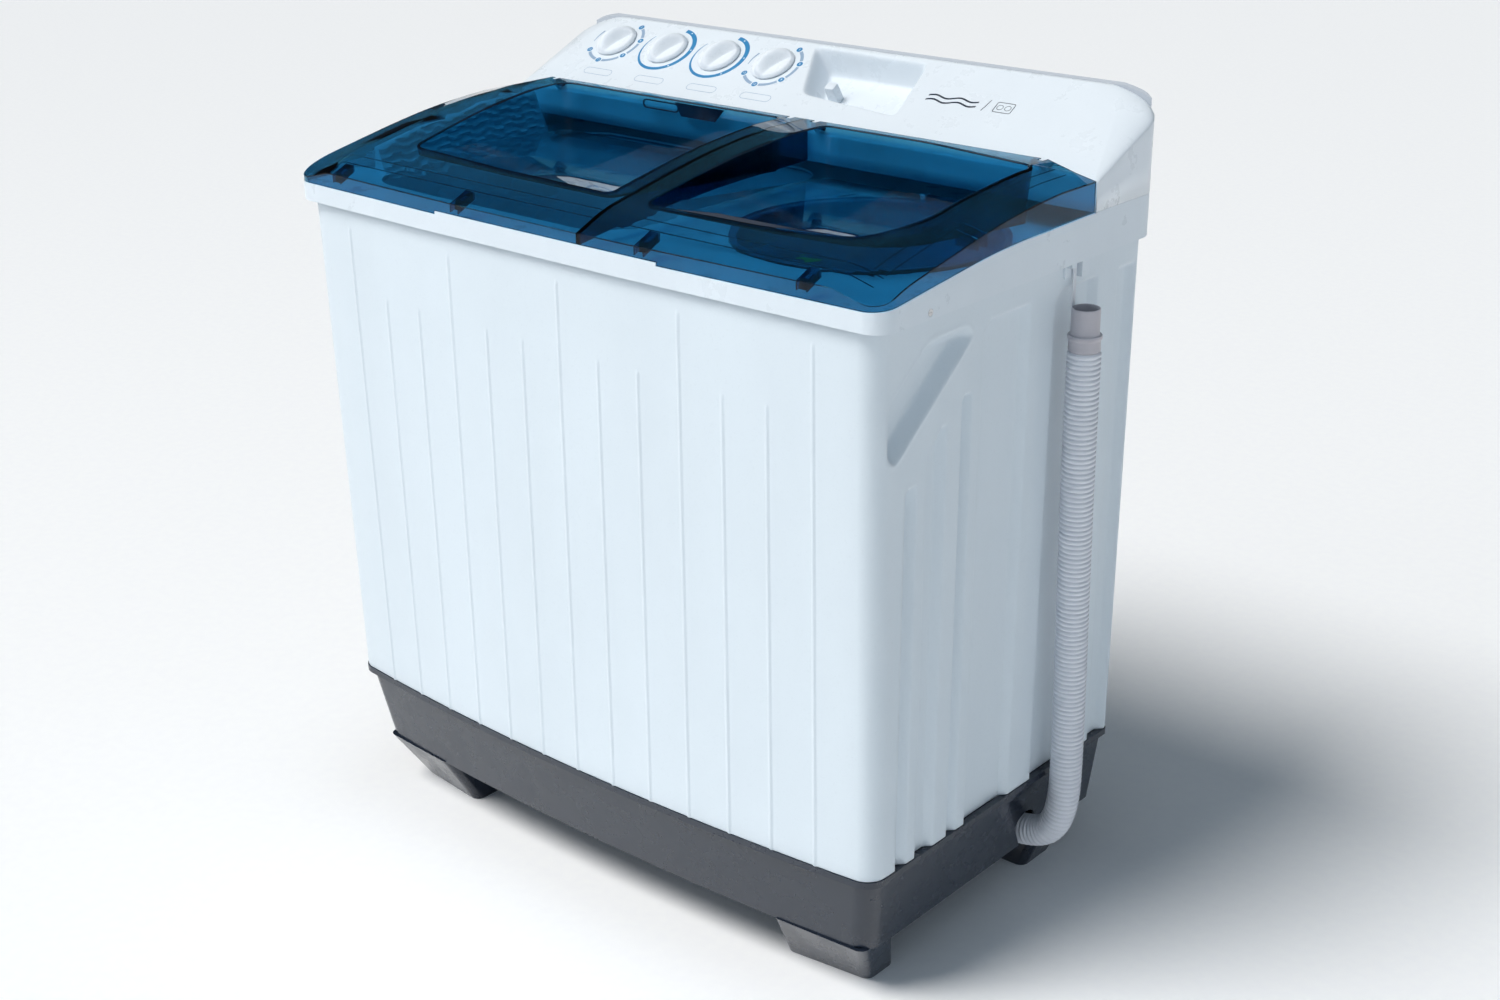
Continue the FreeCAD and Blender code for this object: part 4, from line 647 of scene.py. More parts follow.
def console_rows():
    """Depth, height and distance up the slope of each row, from the foot of the front face."""
    rows = [(CONSOLE_FRONT, level, None) for level in (CONSOLE_BOTTOM, 905, 918)]
    touch = FRONT_EDGE * math.tan((math.pi / 2 - SLOPE) / 2)
    for step in range(6):
        angle = math.pi + (SLOPE - math.pi / 2) * step / 5
        rows.append((CONSOLE_FRONT + FRONT_EDGE + FRONT_EDGE * math.cos(angle),
                     CONSOLE_FRONT_TOP - touch + FRONT_EDGE * math.sin(angle), None))
    length = (CONSOLE_SPLIT - CONSOLE_FRONT) / math.cos(SLOPE)
    for up in [4, 8, 14, 22, 32, 42] + [45 + 1.5 * step for step in range(74)] + [length - 0.4, length]:
        rows.append((CONSOLE_FRONT + up * math.cos(SLOPE), CONSOLE_FRONT_TOP + up * math.sin(SLOPE), up))
    return rows, length


def control_panel():
    """The console's fascia: a sloping face with rounded shoulders and a sunk tray."""
    rows, length = console_rows()
    stops = [TRAY_LEFT + (TRAY_RIGHT - TRAY_LEFT) * step / 146 for step in range(147)]
    inward = Vector((0, math.sin(SLOPE), -math.cos(SLOPE)))
    places, faces = [], []
    for y, top, up in rows:
        half, shoulder = console_corner(y, top)
        foot = min(shoulder[0][1], top)
        right = [(half, CONSOLE_BOTTOM + (foot - CONSOLE_BOTTOM) * share) for share in (0, 0.5, 0.97)]
        right += shoulder
        right = [(x, max(z, CONSOLE_BOTTOM)) for x, z in right]
        left = [(-x, z) for x, z in right]
        end = shoulder[-1][0]
        flat = [(TRAY_RIGHT + (end - TRAY_RIGHT) * share / 8, top) for share in range(7, 0, -1)]
        flat += [(stop, top) for stop in stops[::-1]]
        flat += [(TRAY_LEFT + (-end - TRAY_LEFT) * share / 10, top) for share in range(1, 10)]
        for x, z in right + flat + left[::-1]:
            depth = 0.0
            if up is not None:
                if TRAY_LEFT < x < TRAY_RIGHT and up > 44:
                    distance = inside_distance(TRAY_OUTLINE, x, up, 4.0)
                    depth = TRAY_DEPTH * ramp((distance - 1.0) / TRAY_DRAFT, 0.2)
                if up > length - 0.3:
                    depth = 0.5
            places.append((Vector((x, y, z)) + inward * depth) * MM)
    count = len(places) // len(rows)
    for row in range(len(rows) - 1):
        for index in range(count - 1):
            low, high = row * count + index, (row + 1) * count + index
            faces.append((low, low + 1, high + 1, high))
    panel = new_piece("console_fascia", mesh_of("console_fascia", places, faces, 80),
                      MATERIALS["panel_white"], ROOT)
    thicken(panel, 2.2 * MM)
    parts = [panel, tray_nozzle()] + [knuckle_arm(x) for x in KNUCKLES]
    for part in parts:
        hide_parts("control_panel")


def lofted(name, outlines, material, body, sharp=38):
    """A closed solid through outlines that have the same number of points."""
    count = len(outlines[0])
    places = [point for outline in outlines for point in outline]
    faces = [tuple(range(count - 1, -1, -1)), tuple(range(len(places) - count, len(places)))]
    faces += ring_faces(len(outlines), count)
    return new_piece(name, mesh_of(name, places, faces, sharp), material, body)


def tray_nozzle():
    """The small water outlet that stands on the tray's floor."""
    outlines = []
    for half_width, half_height, depth in ((8, 7, 35), (7.6, 6.6, 12), (7.2, 6.2, 10.6), (6.2, 5.2, 10.0)):
        outline = rounded_rectangle(half_width, half_height, 2.2, NOZZLE_PLACE)
        outlines.append([panel_place(x, up, depth) for x, up in outline])
    return lofted("tray_nozzle", outlines, MATERIALS["panel_white"], ROOT)


def panel_place(x, up, depth):
    """A point on the panel: up from its front edge, depth measured into the console."""
    return Vector((x, CONSOLE_FRONT + up * math.cos(SLOPE) + depth * math.sin(SLOPE),
                   CONSOLE_FRONT_TOP + up * math.sin(SLOPE) - depth * math.cos(SLOPE))) * MM


def plate_outlines(outline, middle, x, layers):
    """Outlines of an upright plate that faces sideways, a little smaller at its two faces."""
    outlines = []
    for offset, shrink in layers:
        outlines.append([Vector((x + offset, middle[0] + (y - middle[0]) * shrink,
                                 middle[1] + (z - middle[1]) * shrink)) * MM for y, z in outline])
    return outlines


def knuckle_arm(x):
    """One of the console's arms that carry the lids, with an eye round the pin."""
    outline = [(132, 922), (148, 934), (131.5, 938.6)]
    for step in range(13):
        angle = math.radians(80 + 15 * step)
        outline.append((HINGE_Y + 4.5 * math.cos(angle), HINGE_Z + 4.5 * math.sin(angle)))
    middle = (sum(y for y, _ in outline) / len(outline), sum(z for _, z in outline) / len(outline))
    outlines = plate_outlines(outline, middle, x, ((-4, 0.94), (-3.6, 1), (3.6, 1), (4, 0.94)))
    return lofted("knuckle_arm_%d" % (KNUCKLES.index(x) + 1), outlines, MATERIALS["panel_white"], ROOT)


# ---------------------------------------------------------------- wash tub
TUB_SIDES = {"left": -405.0, "right": 30.0, "front": -205.0, "rear": 200.0}
TUB_CORNER, TUB_DRAFT = 60.0, 20.0
TUB_FLOOR, TUB_TOP = 420.0, 852.0
BOARD_PITCH, BOARD_WAVE, BOARD_DEPTH = 19.0, 44.0, 6.5
BOARD_LOW, BOARD_TOP, BOARD_FRONT, BOARD_REAR = 600.0, 828.0, -148.0, 138.0
SHAFT_HOLE = 14.0


def board_depth(y, z):
    """How far the wavy washboard stands into the tub from its left wall."""
    wave = 4.5 * math.sin(math.tau * y / BOARD_WAVE) + 0.10 * y
    crest = (0.5 + 0.5 * math.cos(math.tau * (z - BOARD_LOW - wave) / BOARD_PITCH)) ** 1.6
    ends = ramp((y - BOARD_FRONT) / 14) * ramp((BOARD_REAR - y) / 14)
    return BOARD_DEPTH * crest * ends * ramp((z - BOARD_LOW) / 12) * ramp((BOARD_TOP - z) / 10)


def tub_outline(inset, z):
    """Plan points round the tub at a height; only the left wall carries the washboard."""
    left, right = TUB_SIDES["left"] + inset, TUB_SIDES["right"] - inset
    front, rear = TUB_SIDES["front"] + inset, TUB_SIDES["rear"] - inset
    radius = max(TUB_CORNER - inset, 8.0)
    points = []
    corners = ((right - radius, rear - radius, 0), (left + radius, rear - radius, 90),
               (left + radius, front + radius, 180), (right - radius, front + radius, 270))
    for corner_x, corner_y, start in corners:
        for step in range(9):
            angle = math.radians(start + 11.25 * step)
            points.append((corner_x + radius * math.cos(angle), corner_y + radius * math.sin(angle)))
        if start == 90:
            low, high = front + radius, rear - radius
            for step in range(1, 72):
                y = high + (low - high) * step / 72
                points.append((left + board_depth(y, z), y))
    return points


def wash_tub():
    """The tub: drafted walls, a wavy washboard, a rounded floor with the shaft's hole, and a flange."""
    levels = [(TUB_DRAFT + 8, TUB_FLOOR), (TUB_DRAFT + 2.5, TUB_FLOOR + 2.5), (TUB_DRAFT, TUB_FLOOR + 8)]
    heights = [500, 560] + [592 + 3.2 * step for step in range(76)] + [TUB_TOP - 4]
    levels += [(TUB_DRAFT * (TUB_TOP - z) / (TUB_TOP - TUB_FLOOR), z) for z in heights]
    levels += [(-1.0, TUB_TOP - 0.6), (-3.0, TUB_TOP + 0.8), (-10.5, TUB_TOP + 1.0)]
    places = []
    middle = Vector(JOINT_OF["pulsator"]["pos_m"]) / MM
    first = tub_outline(*levels[0])
    for x, y in first:
        away = Vector((x - middle.x, y - middle.y, 0)).normalized() * SHAFT_HOLE
        places.append(Vector((middle.x + away.x, middle.y + away.y, TUB_FLOOR)) * MM)
    for inset, z in levels:
        places += [Vector((x, y, z)) * MM for x, y in tub_outline(inset, z)]
    faces = ring_faces(len(levels) + 1, len(first))
    tub = new_piece("wash_tub_skin", mesh_of("wash_tub_skin", places, faces, 60), MATERIALS["tub_white"],
                    ROOT)
    outward = 1 if tub.data.polygons[0].normal.z < 0 else -1
    thicken(tub, 2.4 * MM, outward)
    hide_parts("wash_tub")


# ---------------------------------------------------------------- lid details
LID_PROFILE = [(-249.5, 886), (-227.5, 895), (-190.5, 904), (-109.5, 920), (-43.5, 931), (25.5, 938.5),
               (62, 941), (129, 941)]
LID_FLAT_HALF, LID_CREASE_HALF, LID_CREASE_DROP = 400.0, 437.0, 10.0
LID_SEAM = 44.0
RECESS_DRAFT = 0.10
UPPER_BACK, UPPER_PLANE, UPPER_FOOT, UPPER_CLEAR = -426.0, -420.0, 851.0, 14.0
UPPER_FRONT, UPPER_REAR = -165.0, 112.0
UPPER_LEAN, UPPER_DEPTH, UPPER_WAVE, UPPER_PITCH = 0.45, 5.5, 38, 9.5
WASH_RECESS = [((-369, 119), 24), ((20, 121), 16), ((24, -196), 16), ((-161, -192), 300), ((-338, -181), 24)]
SPIN_RECESS = [((84, 119), 16), ((240, 121), 200), ((408, 96), 22), ((408, -120), 110),
               ((372, -181), 60), ((258, -197), 400), ((75, -203), 20)]
RECESS_REAR = 119.0
STEP_COUNT, STEP_START, STEP_PITCH = 8, 9.5, 3.4
LID_SIDE_FALL = 0.214                # how steeply the lids fall outside their crease
CREASE_BELOW = 3.4
GUSSETS = {"wash_lid": [-382.0, -162.0], "spin_lid": [136.0, 362.0]}


def crown_height(x, y):
    """The height of the lids' top surface."""
    points = LID_PROFILE
    height = points[-1][1]
    for (y0, z0), (y1, z1) in zip(points, points[1:]):
        if y <= y1:
            height = z0 + (z1 - z0) * max(0.0, (y - y0) / (y1 - y0))
            break
    across = abs(x)
    if across > LID_FLAT_HALF:
        height -= LID_CREASE_DROP * min(1.0, (across - LID_FLAT_HALF) / (LID_CREASE_HALF - LID_FLAT_HALF))
    if across > LID_CREASE_HALF:
        height -= (across - LID_CREASE_HALF) * LID_SIDE_FALL
    return height


def recess_floor(y):
    """The height of the recesses' sloping floors."""
    return 901 - 25 * (y + 215) / 345


def rounded_outline(corners, inset, steps=10):
    """Points round a convex outline whose corners have their own radii, moved inwards by inset."""
    points = [point for point, _ in corners]
    area = sum(a[0] * b[1] - b[0] * a[1] for a, b in zip(points, points[1:] + points[:1]))
    turn = 1 if area > 0 else -1
    result = []
    for index, (corner, radius) in enumerate(corners):
        here = Vector(corner)
        back = (Vector(points[index - 1]) - here).normalized()
        ahead = (Vector(points[(index + 1) % len(points)]) - here).normalized()
        half = back.angle(ahead) / 2
        centre = here + (back + ahead).normalized() * (radius / math.sin(half))
        start = math.atan2(*(here + back * radius / math.tan(half) - centre).yx)
        sweep = turn * (math.pi - 2 * half)
        for step in range(steps + 1):
            angle = start + sweep * step / steps
            reach = radius - inset
            result.append((centre.x + reach * math.cos(angle), centre.y + reach * math.sin(angle)))
    return result


def rod(name, points, radius, material, body, sides=8):
    """A thin solid bead along points."""
    outlines = []
    up = Vector((0, 0, 1))
    for index, point in enumerate(points):
        ahead = (points[min(index + 1, len(points) - 1)] - points[max(index - 1, 0)]).normalized()
        across = ahead.cross(up).normalized()
        over = across.cross(ahead)
        outlines.append([point + across * radius * math.cos(math.tau * step / sides)
                         + over * radius * math.sin(math.tau * step / sides) for step in range(sides)])
    return lofted(name, outlines, material, body)


def finer(points, step):
    """The same closed plan outline with points no further apart than step."""
    result = []
    for a, b in zip(points, points[1:] + points[:1]):
        count = max(1, math.ceil(math.hypot(b[0] - a[0], b[1] - a[1]) / step))
        result += [(a[0] + (b[0] - a[0]) * index / count, a[1] + (b[1] - a[1]) * index / count)
                   for index in range(count)]
    return result


def recess_shade_line(body, corners):
    """The dark line where a recess meets the lid's crown: painted shade where the clear wall, seen edge-on,
    looks dark.
    """
    plan = finer(rounded_outline(corners, 3.0), 12)
    points = []
    for x, y in plan + plan[:1]:
        points.append(Vector((x, y, crown_height(x, y) - 1.2)) * MM)
    rod(body + "_recess_shade_line", points, 1.1 * MM, MATERIALS["lid_edge"], body)


def recess_steps():
    """Fine steps that follow the front of the spin lid's recess, along its right-hand curve, drawn as dark
    lines whose darkness is painted shade for how they look in the clear lid.
    """
    for number in range(STEP_COUNT):
        plan = finer(rounded_outline(SPIN_RECESS, STEP_START + STEP_PITCH * number), 8)
        front = [(x, y) for x, y in plan
                 if y < -30 + 6 * number and (x > 330 or y < -100) and x > 96 + 8 * number]
        front.sort(key=lambda point: math.atan2(point[1] + 20, point[0] - 240))
        points = [Vector((x, y, recess_floor(y) + 0.7)) * MM for x, y in front]
        rod("spin_lid_step_%d" % (number + 1), points, 0.75 * MM, MATERIALS["lid_edge"],
            "spin_lid")


def crease_shade_lines(body, side):
    """Painted shade: two dark lines near the lid's outer edge, and two across its front, where the clear
    lid's bends look dark.
    """
    for number, x in enumerate((LID_CREASE_HALF - 4, LID_FLAT_HALF + 18)):
        points = [Vector((side * x, y, crown_height(x, y) - CREASE_BELOW)) * MM
                  for y in range(-215, 116, 15)]
        rod("%s_side_shade_line_%d" % (body, number + 1), points, 0.6 * MM, MATERIALS["lid_edge"],
            body)
    start, end = LID_SEAM + side * 6, side * (LID_CREASE_HALF - 4)
    for number, y in enumerate((-222, -238)):
        points = []
        for step in range(29):
            x = start + (end - start) * step / 28
            points.append(Vector((x, y + 3 * (x / 465) ** 2, crown_height(x, y) - CREASE_BELOW - 0.2)) * MM)
        rod("%s_front_shade_line_%d" % (body, number + 1), points, 0.6 * MM, MATERIALS["lid_edge"],
            body)


def gusset_box(body, number, x):
    """The small closed box behind the lid's front wall."""
    profile = [(-260, 869), (-241.5, 877), (-241.5, 888), (-258, 880)]
    outlines = plate_outlines(profile, (-250, 878.5), x, ((-6.9, 0.9), (-6.2, 1.0), (6.2, 1.0), (6.9, 0.9)))
    lofted("%s_gusset_%d" % (body, number), outlines, MATERIALS["lid_blue"], body)


def oval_slot():
    """The raised oval on the back wall of the wash lid's recess, and the plain shield beside it."""
    wall = RECESS_REAR - RECESS_DRAFT * 30 - 0.6
    middle = (-185.5, 930.5)
    outer = rounded_rectangle(31.5, 6.0, 5.9, middle)
    inner = rounded_rectangle(29.6, 4.3, 4.2, middle)
    flat = [[Vector((x, wall, z)) * MM for x, z in ring] for ring in (outer, inner)]
    raised = [[point - Vector((0, 1.4, 0)) * MM for point in ring] for ring in flat]
    places = flat[0] + raised[0] + raised[1] + flat[1]
    count = len(outer)
    faces = []
    for band in range(4):
        for index in range(count):
            after = (index + 1) % count
            low, high = band * count, (band + 1) % 4 * count
            faces.append((low + index, low + after, high + after, high + index))
    new_piece("wash_lid_oval", mesh_of("wash_lid_oval", places, faces), MATERIALS["lid_edge"],
              "wash_lid")
    shield = [(-160, 938), (-76, 938), (-92, 921), (-150, 921)]
    outlines = []
    for depth, shrink in ((0, 1.0), (1.0, 1.0), (1.5, 0.97)):
        outlines.append([Vector((-118 + (x + 118) * shrink, wall - depth, 930 + (z - 930) * shrink)) * MM
                         for x, z in shield])
    lofted("wash_lid_shield", outlines, MATERIALS["lid_edge"], "wash_lid")


def energy_dot():
    """The small green sticker on the inner lid."""
    centre = (274, -143)
    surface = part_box("spin_inner_lid")[0].z / MM + 2.5
    outlines = []
    for lift, shrink in ((0.05, 1.0), (0.20, 1.0), (0.26, 0.96)):
        outline = rounded_rectangle(15 * shrink, 6.5 * shrink, 3.0, centre)
        outlines.append([Vector((x, y, surface + lift)) * MM for x, y in outline])
    lofted("inner_lid_sticker", outlines, INK_GREEN, "spin_inner_lid")


def upper_washboard():
    """The wavy board that stands on the frame above the tub's left edge, as one closed wedge."""
    rows, columns = 20, 76
    outlines = []
    for column in range(columns):
        y = UPPER_FRONT + (UPPER_REAR - UPPER_FRONT) * column / (columns - 1)
        top = crown_height(UPPER_PLANE, y) - UPPER_CLEAR
        ends = ramp((y - UPPER_FRONT) / 10) * ramp((UPPER_REAR - y) / 10)
        outline = [Vector((UPPER_BACK, y, UPPER_FOOT)) * MM, Vector((UPPER_BACK, y, top)) * MM]
        for row in range(rows):
            z = top + (UPPER_FOOT - top) * row / (rows - 1)
            wave = 2.4 * math.sin(math.tau * y / UPPER_WAVE)
            crest = (0.5 + 0.5 * math.cos(math.tau * (z - UPPER_FOOT - wave) / UPPER_PITCH)) ** 1.4
            x = UPPER_PLANE + UPPER_LEAN * (top - z) + UPPER_DEPTH * crest * ends
            outline.append(Vector((x, y, z)) * MM)
        outlines.append(outline)
    lofted("tub_upper_board", outlines, MATERIALS["tub_white"], ROOT, 60)


def lid_details():
    upper_washboard()
    recess_shade_line("wash_lid", WASH_RECESS)
    recess_shade_line("spin_lid", SPIN_RECESS)
    recess_steps()
    crease_shade_lines("wash_lid", -1)
    crease_shade_lines("spin_lid", 1)
    oval_slot()
    energy_dot()
    for body, places in GUSSETS.items():
        for number, x in enumerate(places):
            gusset_box(body, number + 1, x)


# ---------------------------------------------------------------- camera, light and floor
def camera():
    """The view, from the front and to the right, looking down."""
    turn, dip, roll = math.radians(40.525), math.radians(22.087), math.radians(-0.356)
    forward = Vector((-math.sin(turn) * math.cos(dip), math.cos(turn) * math.cos(dip), -math.sin(dip)))
    right = Vector((math.cos(turn), math.sin(turn), 0))
    up = right.cross(forward)
    across = right * math.cos(roll) + up * math.sin(roll)
    upright = up * math.cos(roll) - right * math.sin(roll)
    data = bpy.data.cameras.new("Camera")
    data.sensor_width = 36
    data.lens = 49.95
    data.shift_x = -0.00987
    data.shift_y = 0.0009
    view = bpy.data.objects.new("Camera", data)
    view.matrix_world = Matrix((
        (across.x, upright.x, -forward.x, 1.665),
        (across.y, upright.y, -forward.y, -1.8475),
        (across.z, upright.z, -forward.z, 1.469),
        (0, 0, 0, 1)))
    bpy.context.scene.collection.objects.link(view)
    bpy.context.scene.camera = view


def soft_light(name, place, target, size, power, colour):
    data = bpy.data.lights.new(name, "AREA")
    data.shape = "RECTANGLE"
    data.size, data.size_y = size
    data.energy = power
    data.color = colour
    light = bpy.data.objects.new(name, data)
    light.location = place
    light.rotation_euler = (Vector(target) - Vector(place)).to_track_quat("-Z", "Y").to_euler()
    bpy.context.scene.collection.objects.link(light)


def soft_sun(direction, strength, spread, colour):
    """Even light from one side, with wide soft shadows."""
    data = bpy.data.lights.new("Sun", "SUN")
    data.energy = strength
    data.angle = math.radians(spread)
    data.color = colour
    light = bpy.data.objects.new("Sun", data)
    light.rotation_euler = Vector(direction).to_track_quat("-Z", "Y").to_euler()
    light.visible_glossy = False
    bpy.context.scene.collection.objects.link(light)


def studio():
    """Pale blue surroundings, dark behind, with an even light from the front left and soft boxes."""
    world = bpy.data.worlds.new("Studio")
    world.use_nodes = True
    background = world.node_tree.nodes["Background"]
    background.inputs["Color"].default_value = (0.70, 0.85, 1.0, 1)
    nodes = world.node_tree.nodes
    toward = nodes.new("ShaderNodeVectorMath")
    toward.operation = "DOT_PRODUCT"
    toward.inputs[1].default_value = Vector((-0.62, 0.70, 0.36)).normalized()
    level = nodes.new("ShaderNodeMapRange")
    level.inputs["From Min"].default_value = -0.1
    level.inputs["From Max"].default_value = 0.65
    level.inputs["To Min"].default_value = 0.42
    level.inputs["To Max"].default_value = 0.03
    link = world.node_tree.links.new
    link(nodes.new("ShaderNodeTexCoord").outputs["Generated"], toward.inputs[0])
    link(toward.outputs["Value"], level.inputs["Value"])
    link(level.outputs["Result"], background.inputs["Strength"])
    bpy.context.scene.world = world
    bpy.context.scene.view_settings.view_transform = "Standard"
    soft_sun((0.30, 0.50, -0.88), 2.82, 28, (1.0, 0.985, 0.96))
    soft_light("Key", (-2.4, -3.0, 2.6), (0, 0, 0.6), (2.0, 2.4), 16, (1.0, 0.99, 0.97))
    soft_light("Back", (0.6, 3.0, 3.0), (0, 0, 0.8), (0.5, 1.2), 1.5, (0.93, 0.97, 1.0))


def floor():
    shader = Shader("Floor_paper")
    speck = shader.spread(shader.noise(60, 3), 0, 1)
    shader.feed(Base_Color=shader.blend(speck, srgb(252, 252, 253), srgb(254, 254, 254)),
                Normal=shader.bump(shader.noise(300, 2), 0.05 * MM, 0.3))
    shader.set(Roughness=0.85)
    half = 40.0
    mesh = mesh_of("Floor", [(-half, -half, 0), (half, -half, 0), (half, half, 0), (-half, half, 0)],
                   [(0, 1, 2, 3)], 0)
    mesh.materials.append(shader.material)
    ground = bpy.data.objects.new("Floor", mesh)
    ground.location.z = -0.2 * MM
    bpy.context.scene.collection.objects.link(ground)


# ---------------------------------------------------------------- drain hose
def backdrop():
    """A pale dome far behind everything, which isn't reflected and casts no light."""
    shader = Shader("Backdrop_paper")
    glow = shader.add("ShaderNodeEmission")
    glow.inputs["Color"].default_value = (0.90, 0.94, 0.97, 1)
    shader.link(glow.outputs[0], shader.output.inputs["Surface"])
    shape = bmesh.new()
    bmesh.ops.create_uvsphere(shape, u_segments=48, v_segments=24, radius=38.0)
    mesh = bpy.data.meshes.new("Backdrop")
    shape.to_mesh(mesh)
    shape.free()
    mesh.materials.append(shader.material)
    dome = bpy.data.objects.new("Backdrop", mesh)
    dome.visible_glossy = False
    dome.visible_diffuse = False
    dome.visible_shadow = False
    bpy.context.scene.collection.objects.link(dome)


def hose_line():
    """Points along the smooth line through the hose's route."""
    curve = bpy.data.curves.new("Hose_route", "CURVE")
    curve.dimensions = "3D"
    curve.resolution_u = 60
    spline = curve.splines.new("NURBS")
    spline.points.add(len(HOSE_ROUTE) - 1)
    for point, place in zip(spline.points, HOSE_ROUTE):
        point.co = (*(value * MM for value in place), 1)
    spline.order_u = 3
    spline.use_endpoint_u = True
    holder = bpy.data.objects.new("Hose_route", curve)
    bpy.context.scene.collection.objects.link(holder)
    bpy.context.view_layer.update()
    line = bpy.data.meshes.new_from_object(holder.evaluated_get(bpy.context.evaluated_depsgraph_get()))
    points = [vertex.co.copy() for vertex in line.vertices]
    bpy.data.objects.remove(holder)
    return points


def even_points(points, step):
    """Points at an even spacing along a line."""
    lengths = [0.0]
    for before, after in zip(points, points[1:]):
        lengths.append(lengths[-1] + (after - before).length)
    count = round(lengths[-1] / step)
    result = []
    index = 0
    for number in range(count + 1):
        reach = lengths[-1] * number / count
        while index < len(points) - 2 and lengths[index + 1] < reach:
            index += 1
        share = (reach - lengths[index]) / (lengths[index + 1] - lengths[index])
        result.append(points[index].lerp(points[index + 1], share))
    return result


def swept_tube(name, points, radii, inner_radius, sides=40):
    """A hollow tube along points with its own outer radius at each."""
    rings = []
    side = Vector((0, 1, 0))
    for index, point in enumerate(points):
        ahead = points[min(index + 1, len(points) - 1)] - points[max(index - 1, 0)]
        ahead.normalize()
        side = (side - ahead * side.dot(ahead)).normalized()
        rings.append((point, side, ahead.cross(side)))
    places, faces = [], []

    def wall(size_at, order):
        first = len(places)
        for index, (point, across, other) in enumerate(rings):
            for number in range(sides):
                angle = 2 * math.pi * number / sides
                offset = across * math.cos(angle) + other * math.sin(angle)
                places.append(point + offset * size_at(index))
        for row in range(len(rings) - 1):
            for number in range(sides):
                after = (number + 1) % sides
                low, high = first + row * sides, first + (row + 1) * sides
                faces.append((low + number, low + after, high + after, high + number)[::order])
        return first

    outside = wall(lambda index: radii[index], 1)
    inside = wall(lambda index: inner_radius, -1)
    last = (len(rings) - 1) * sides
    for number in range(sides):
        after = (number + 1) % sides
        faces.append((outside + number, inside + number, inside + after, outside + after))
        faces.append((outside + last + number, outside + last + after,
                      inside + last + after, inside + last + number))
    return mesh_of(name, places, faces)


def drain_hose():
    """The corrugated hose: round-topped rings with narrow grooves between them."""
    steps = 8
    line = even_points(hose_line(), RING_PITCH / steps)
    groove = 2.3 * MM
    radii = []
    for index in range(len(line)):
        phase = (index % steps) / steps
        crest = 1 - abs(math.cos(math.pi * phase)) ** 5
        radii.append(HOSE_DIAMETER / 2 - groove * (1 - crest))
    mesh = swept_tube("drain_hose_rings", line, radii, HOSE_DIAMETER / 2 - 3.2 * MM)
    hose = new_piece("drain_hose_rings", mesh, MATERIALS["hose_grey"], ROOT)
    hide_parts("drain_hose")
    return hose, line


def ring_profile(centre, profile, sides=72):
    """A closed solid of revolution about a vertical axis; profile is (radius, height) round the section."""
    places, faces = [], []
    count = len(profile)
    for number in range(sides):
        angle = 2 * math.pi * number / sides
        for radius, height in profile:
            places.append(centre + Vector((radius * math.cos(angle), radius * math.sin(angle), height)))
    for number in range(sides):
        after = (number + 1) % sides
        for index in range(count):
            following = (index + 1) % count
            faces.append((number * count + index, after * count + index,
                          after * count + following, number * count + following))
    return places, faces


def hose_cuff():
    """The smooth cuff: a rolled collar, a stop ring and a thin mouth with a rounded lip."""
    low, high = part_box("hose_cuff")
    centre = Vector(((low.x + high.x) / 2, (low.y + high.y) / 2, low.z))
    outline = [(14.6, 0.3), (18.0, 0.3), (18.6, 1.2), (18.9, 3.5), (18.5, 6.0), (18.4, 13.2), (18.8, 14.6),
               (19.6, 15.2), (19.95, 16.2), (19.95, 18.6), (19.5, 19.7), (18.4, 20.0), (17.1, 20.3),
               (16.6, 21.4), (16.45, 47.5), (16.5, 49.6), (16.2, 50.6), (15.6, 50.9), (14.9, 50.6),
               (14.6, 49.8), (14.5, 46.0), (14.5, 6.0)]
    profile = [(radius * MM, height * MM) for radius, height in outline]
    mesh = mesh_of("hose_cuff_lip", *ring_profile(centre, profile))
    cuff = new_piece("hose_cuff_lip", mesh, MATERIALS["cuff_grey"], ROOT)
    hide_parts("hose_cuff")
    return cuff


def hose_and_cuff():
    hose, line = drain_hose()
    cuff = hose_cuff()


# ---------------------------------------------------------------- knobs and dials
def on_panel(centre, across, up, lift):
    """A point near a knob's centre: to the right, up the panel, and out of it."""
    return centre + Vector((across, 0, 0)) + PANEL_UP * up + PANEL_OUT * lift


def knob_height(along, across):
    """The height of a knob's top, in millimetres: a low dish with one lopsided grip across it."""
    radius = math.hypot(along, across)
    dish = 7.6 - 1.2 * (radius / 28) ** 4 + 0.4 * math.cos(radius / 28 * math.pi)
    reach = max(0.0, 1 - (along / 27.5) ** 2)
    crest = 13.0 * reach ** 0.62
    bow = 2.6 * (1 - reach)
    side = across - 1.0 + bow
    if side > 0:
        fall = max(0.0, 1 - side / 3.2) ** 1.7
    else:
        fall = max(0.0, math.cos(min(1.0, -side / 15.0) * math.pi / 2)) ** 1.35
    return min(dish + crest * fall, 20.8)


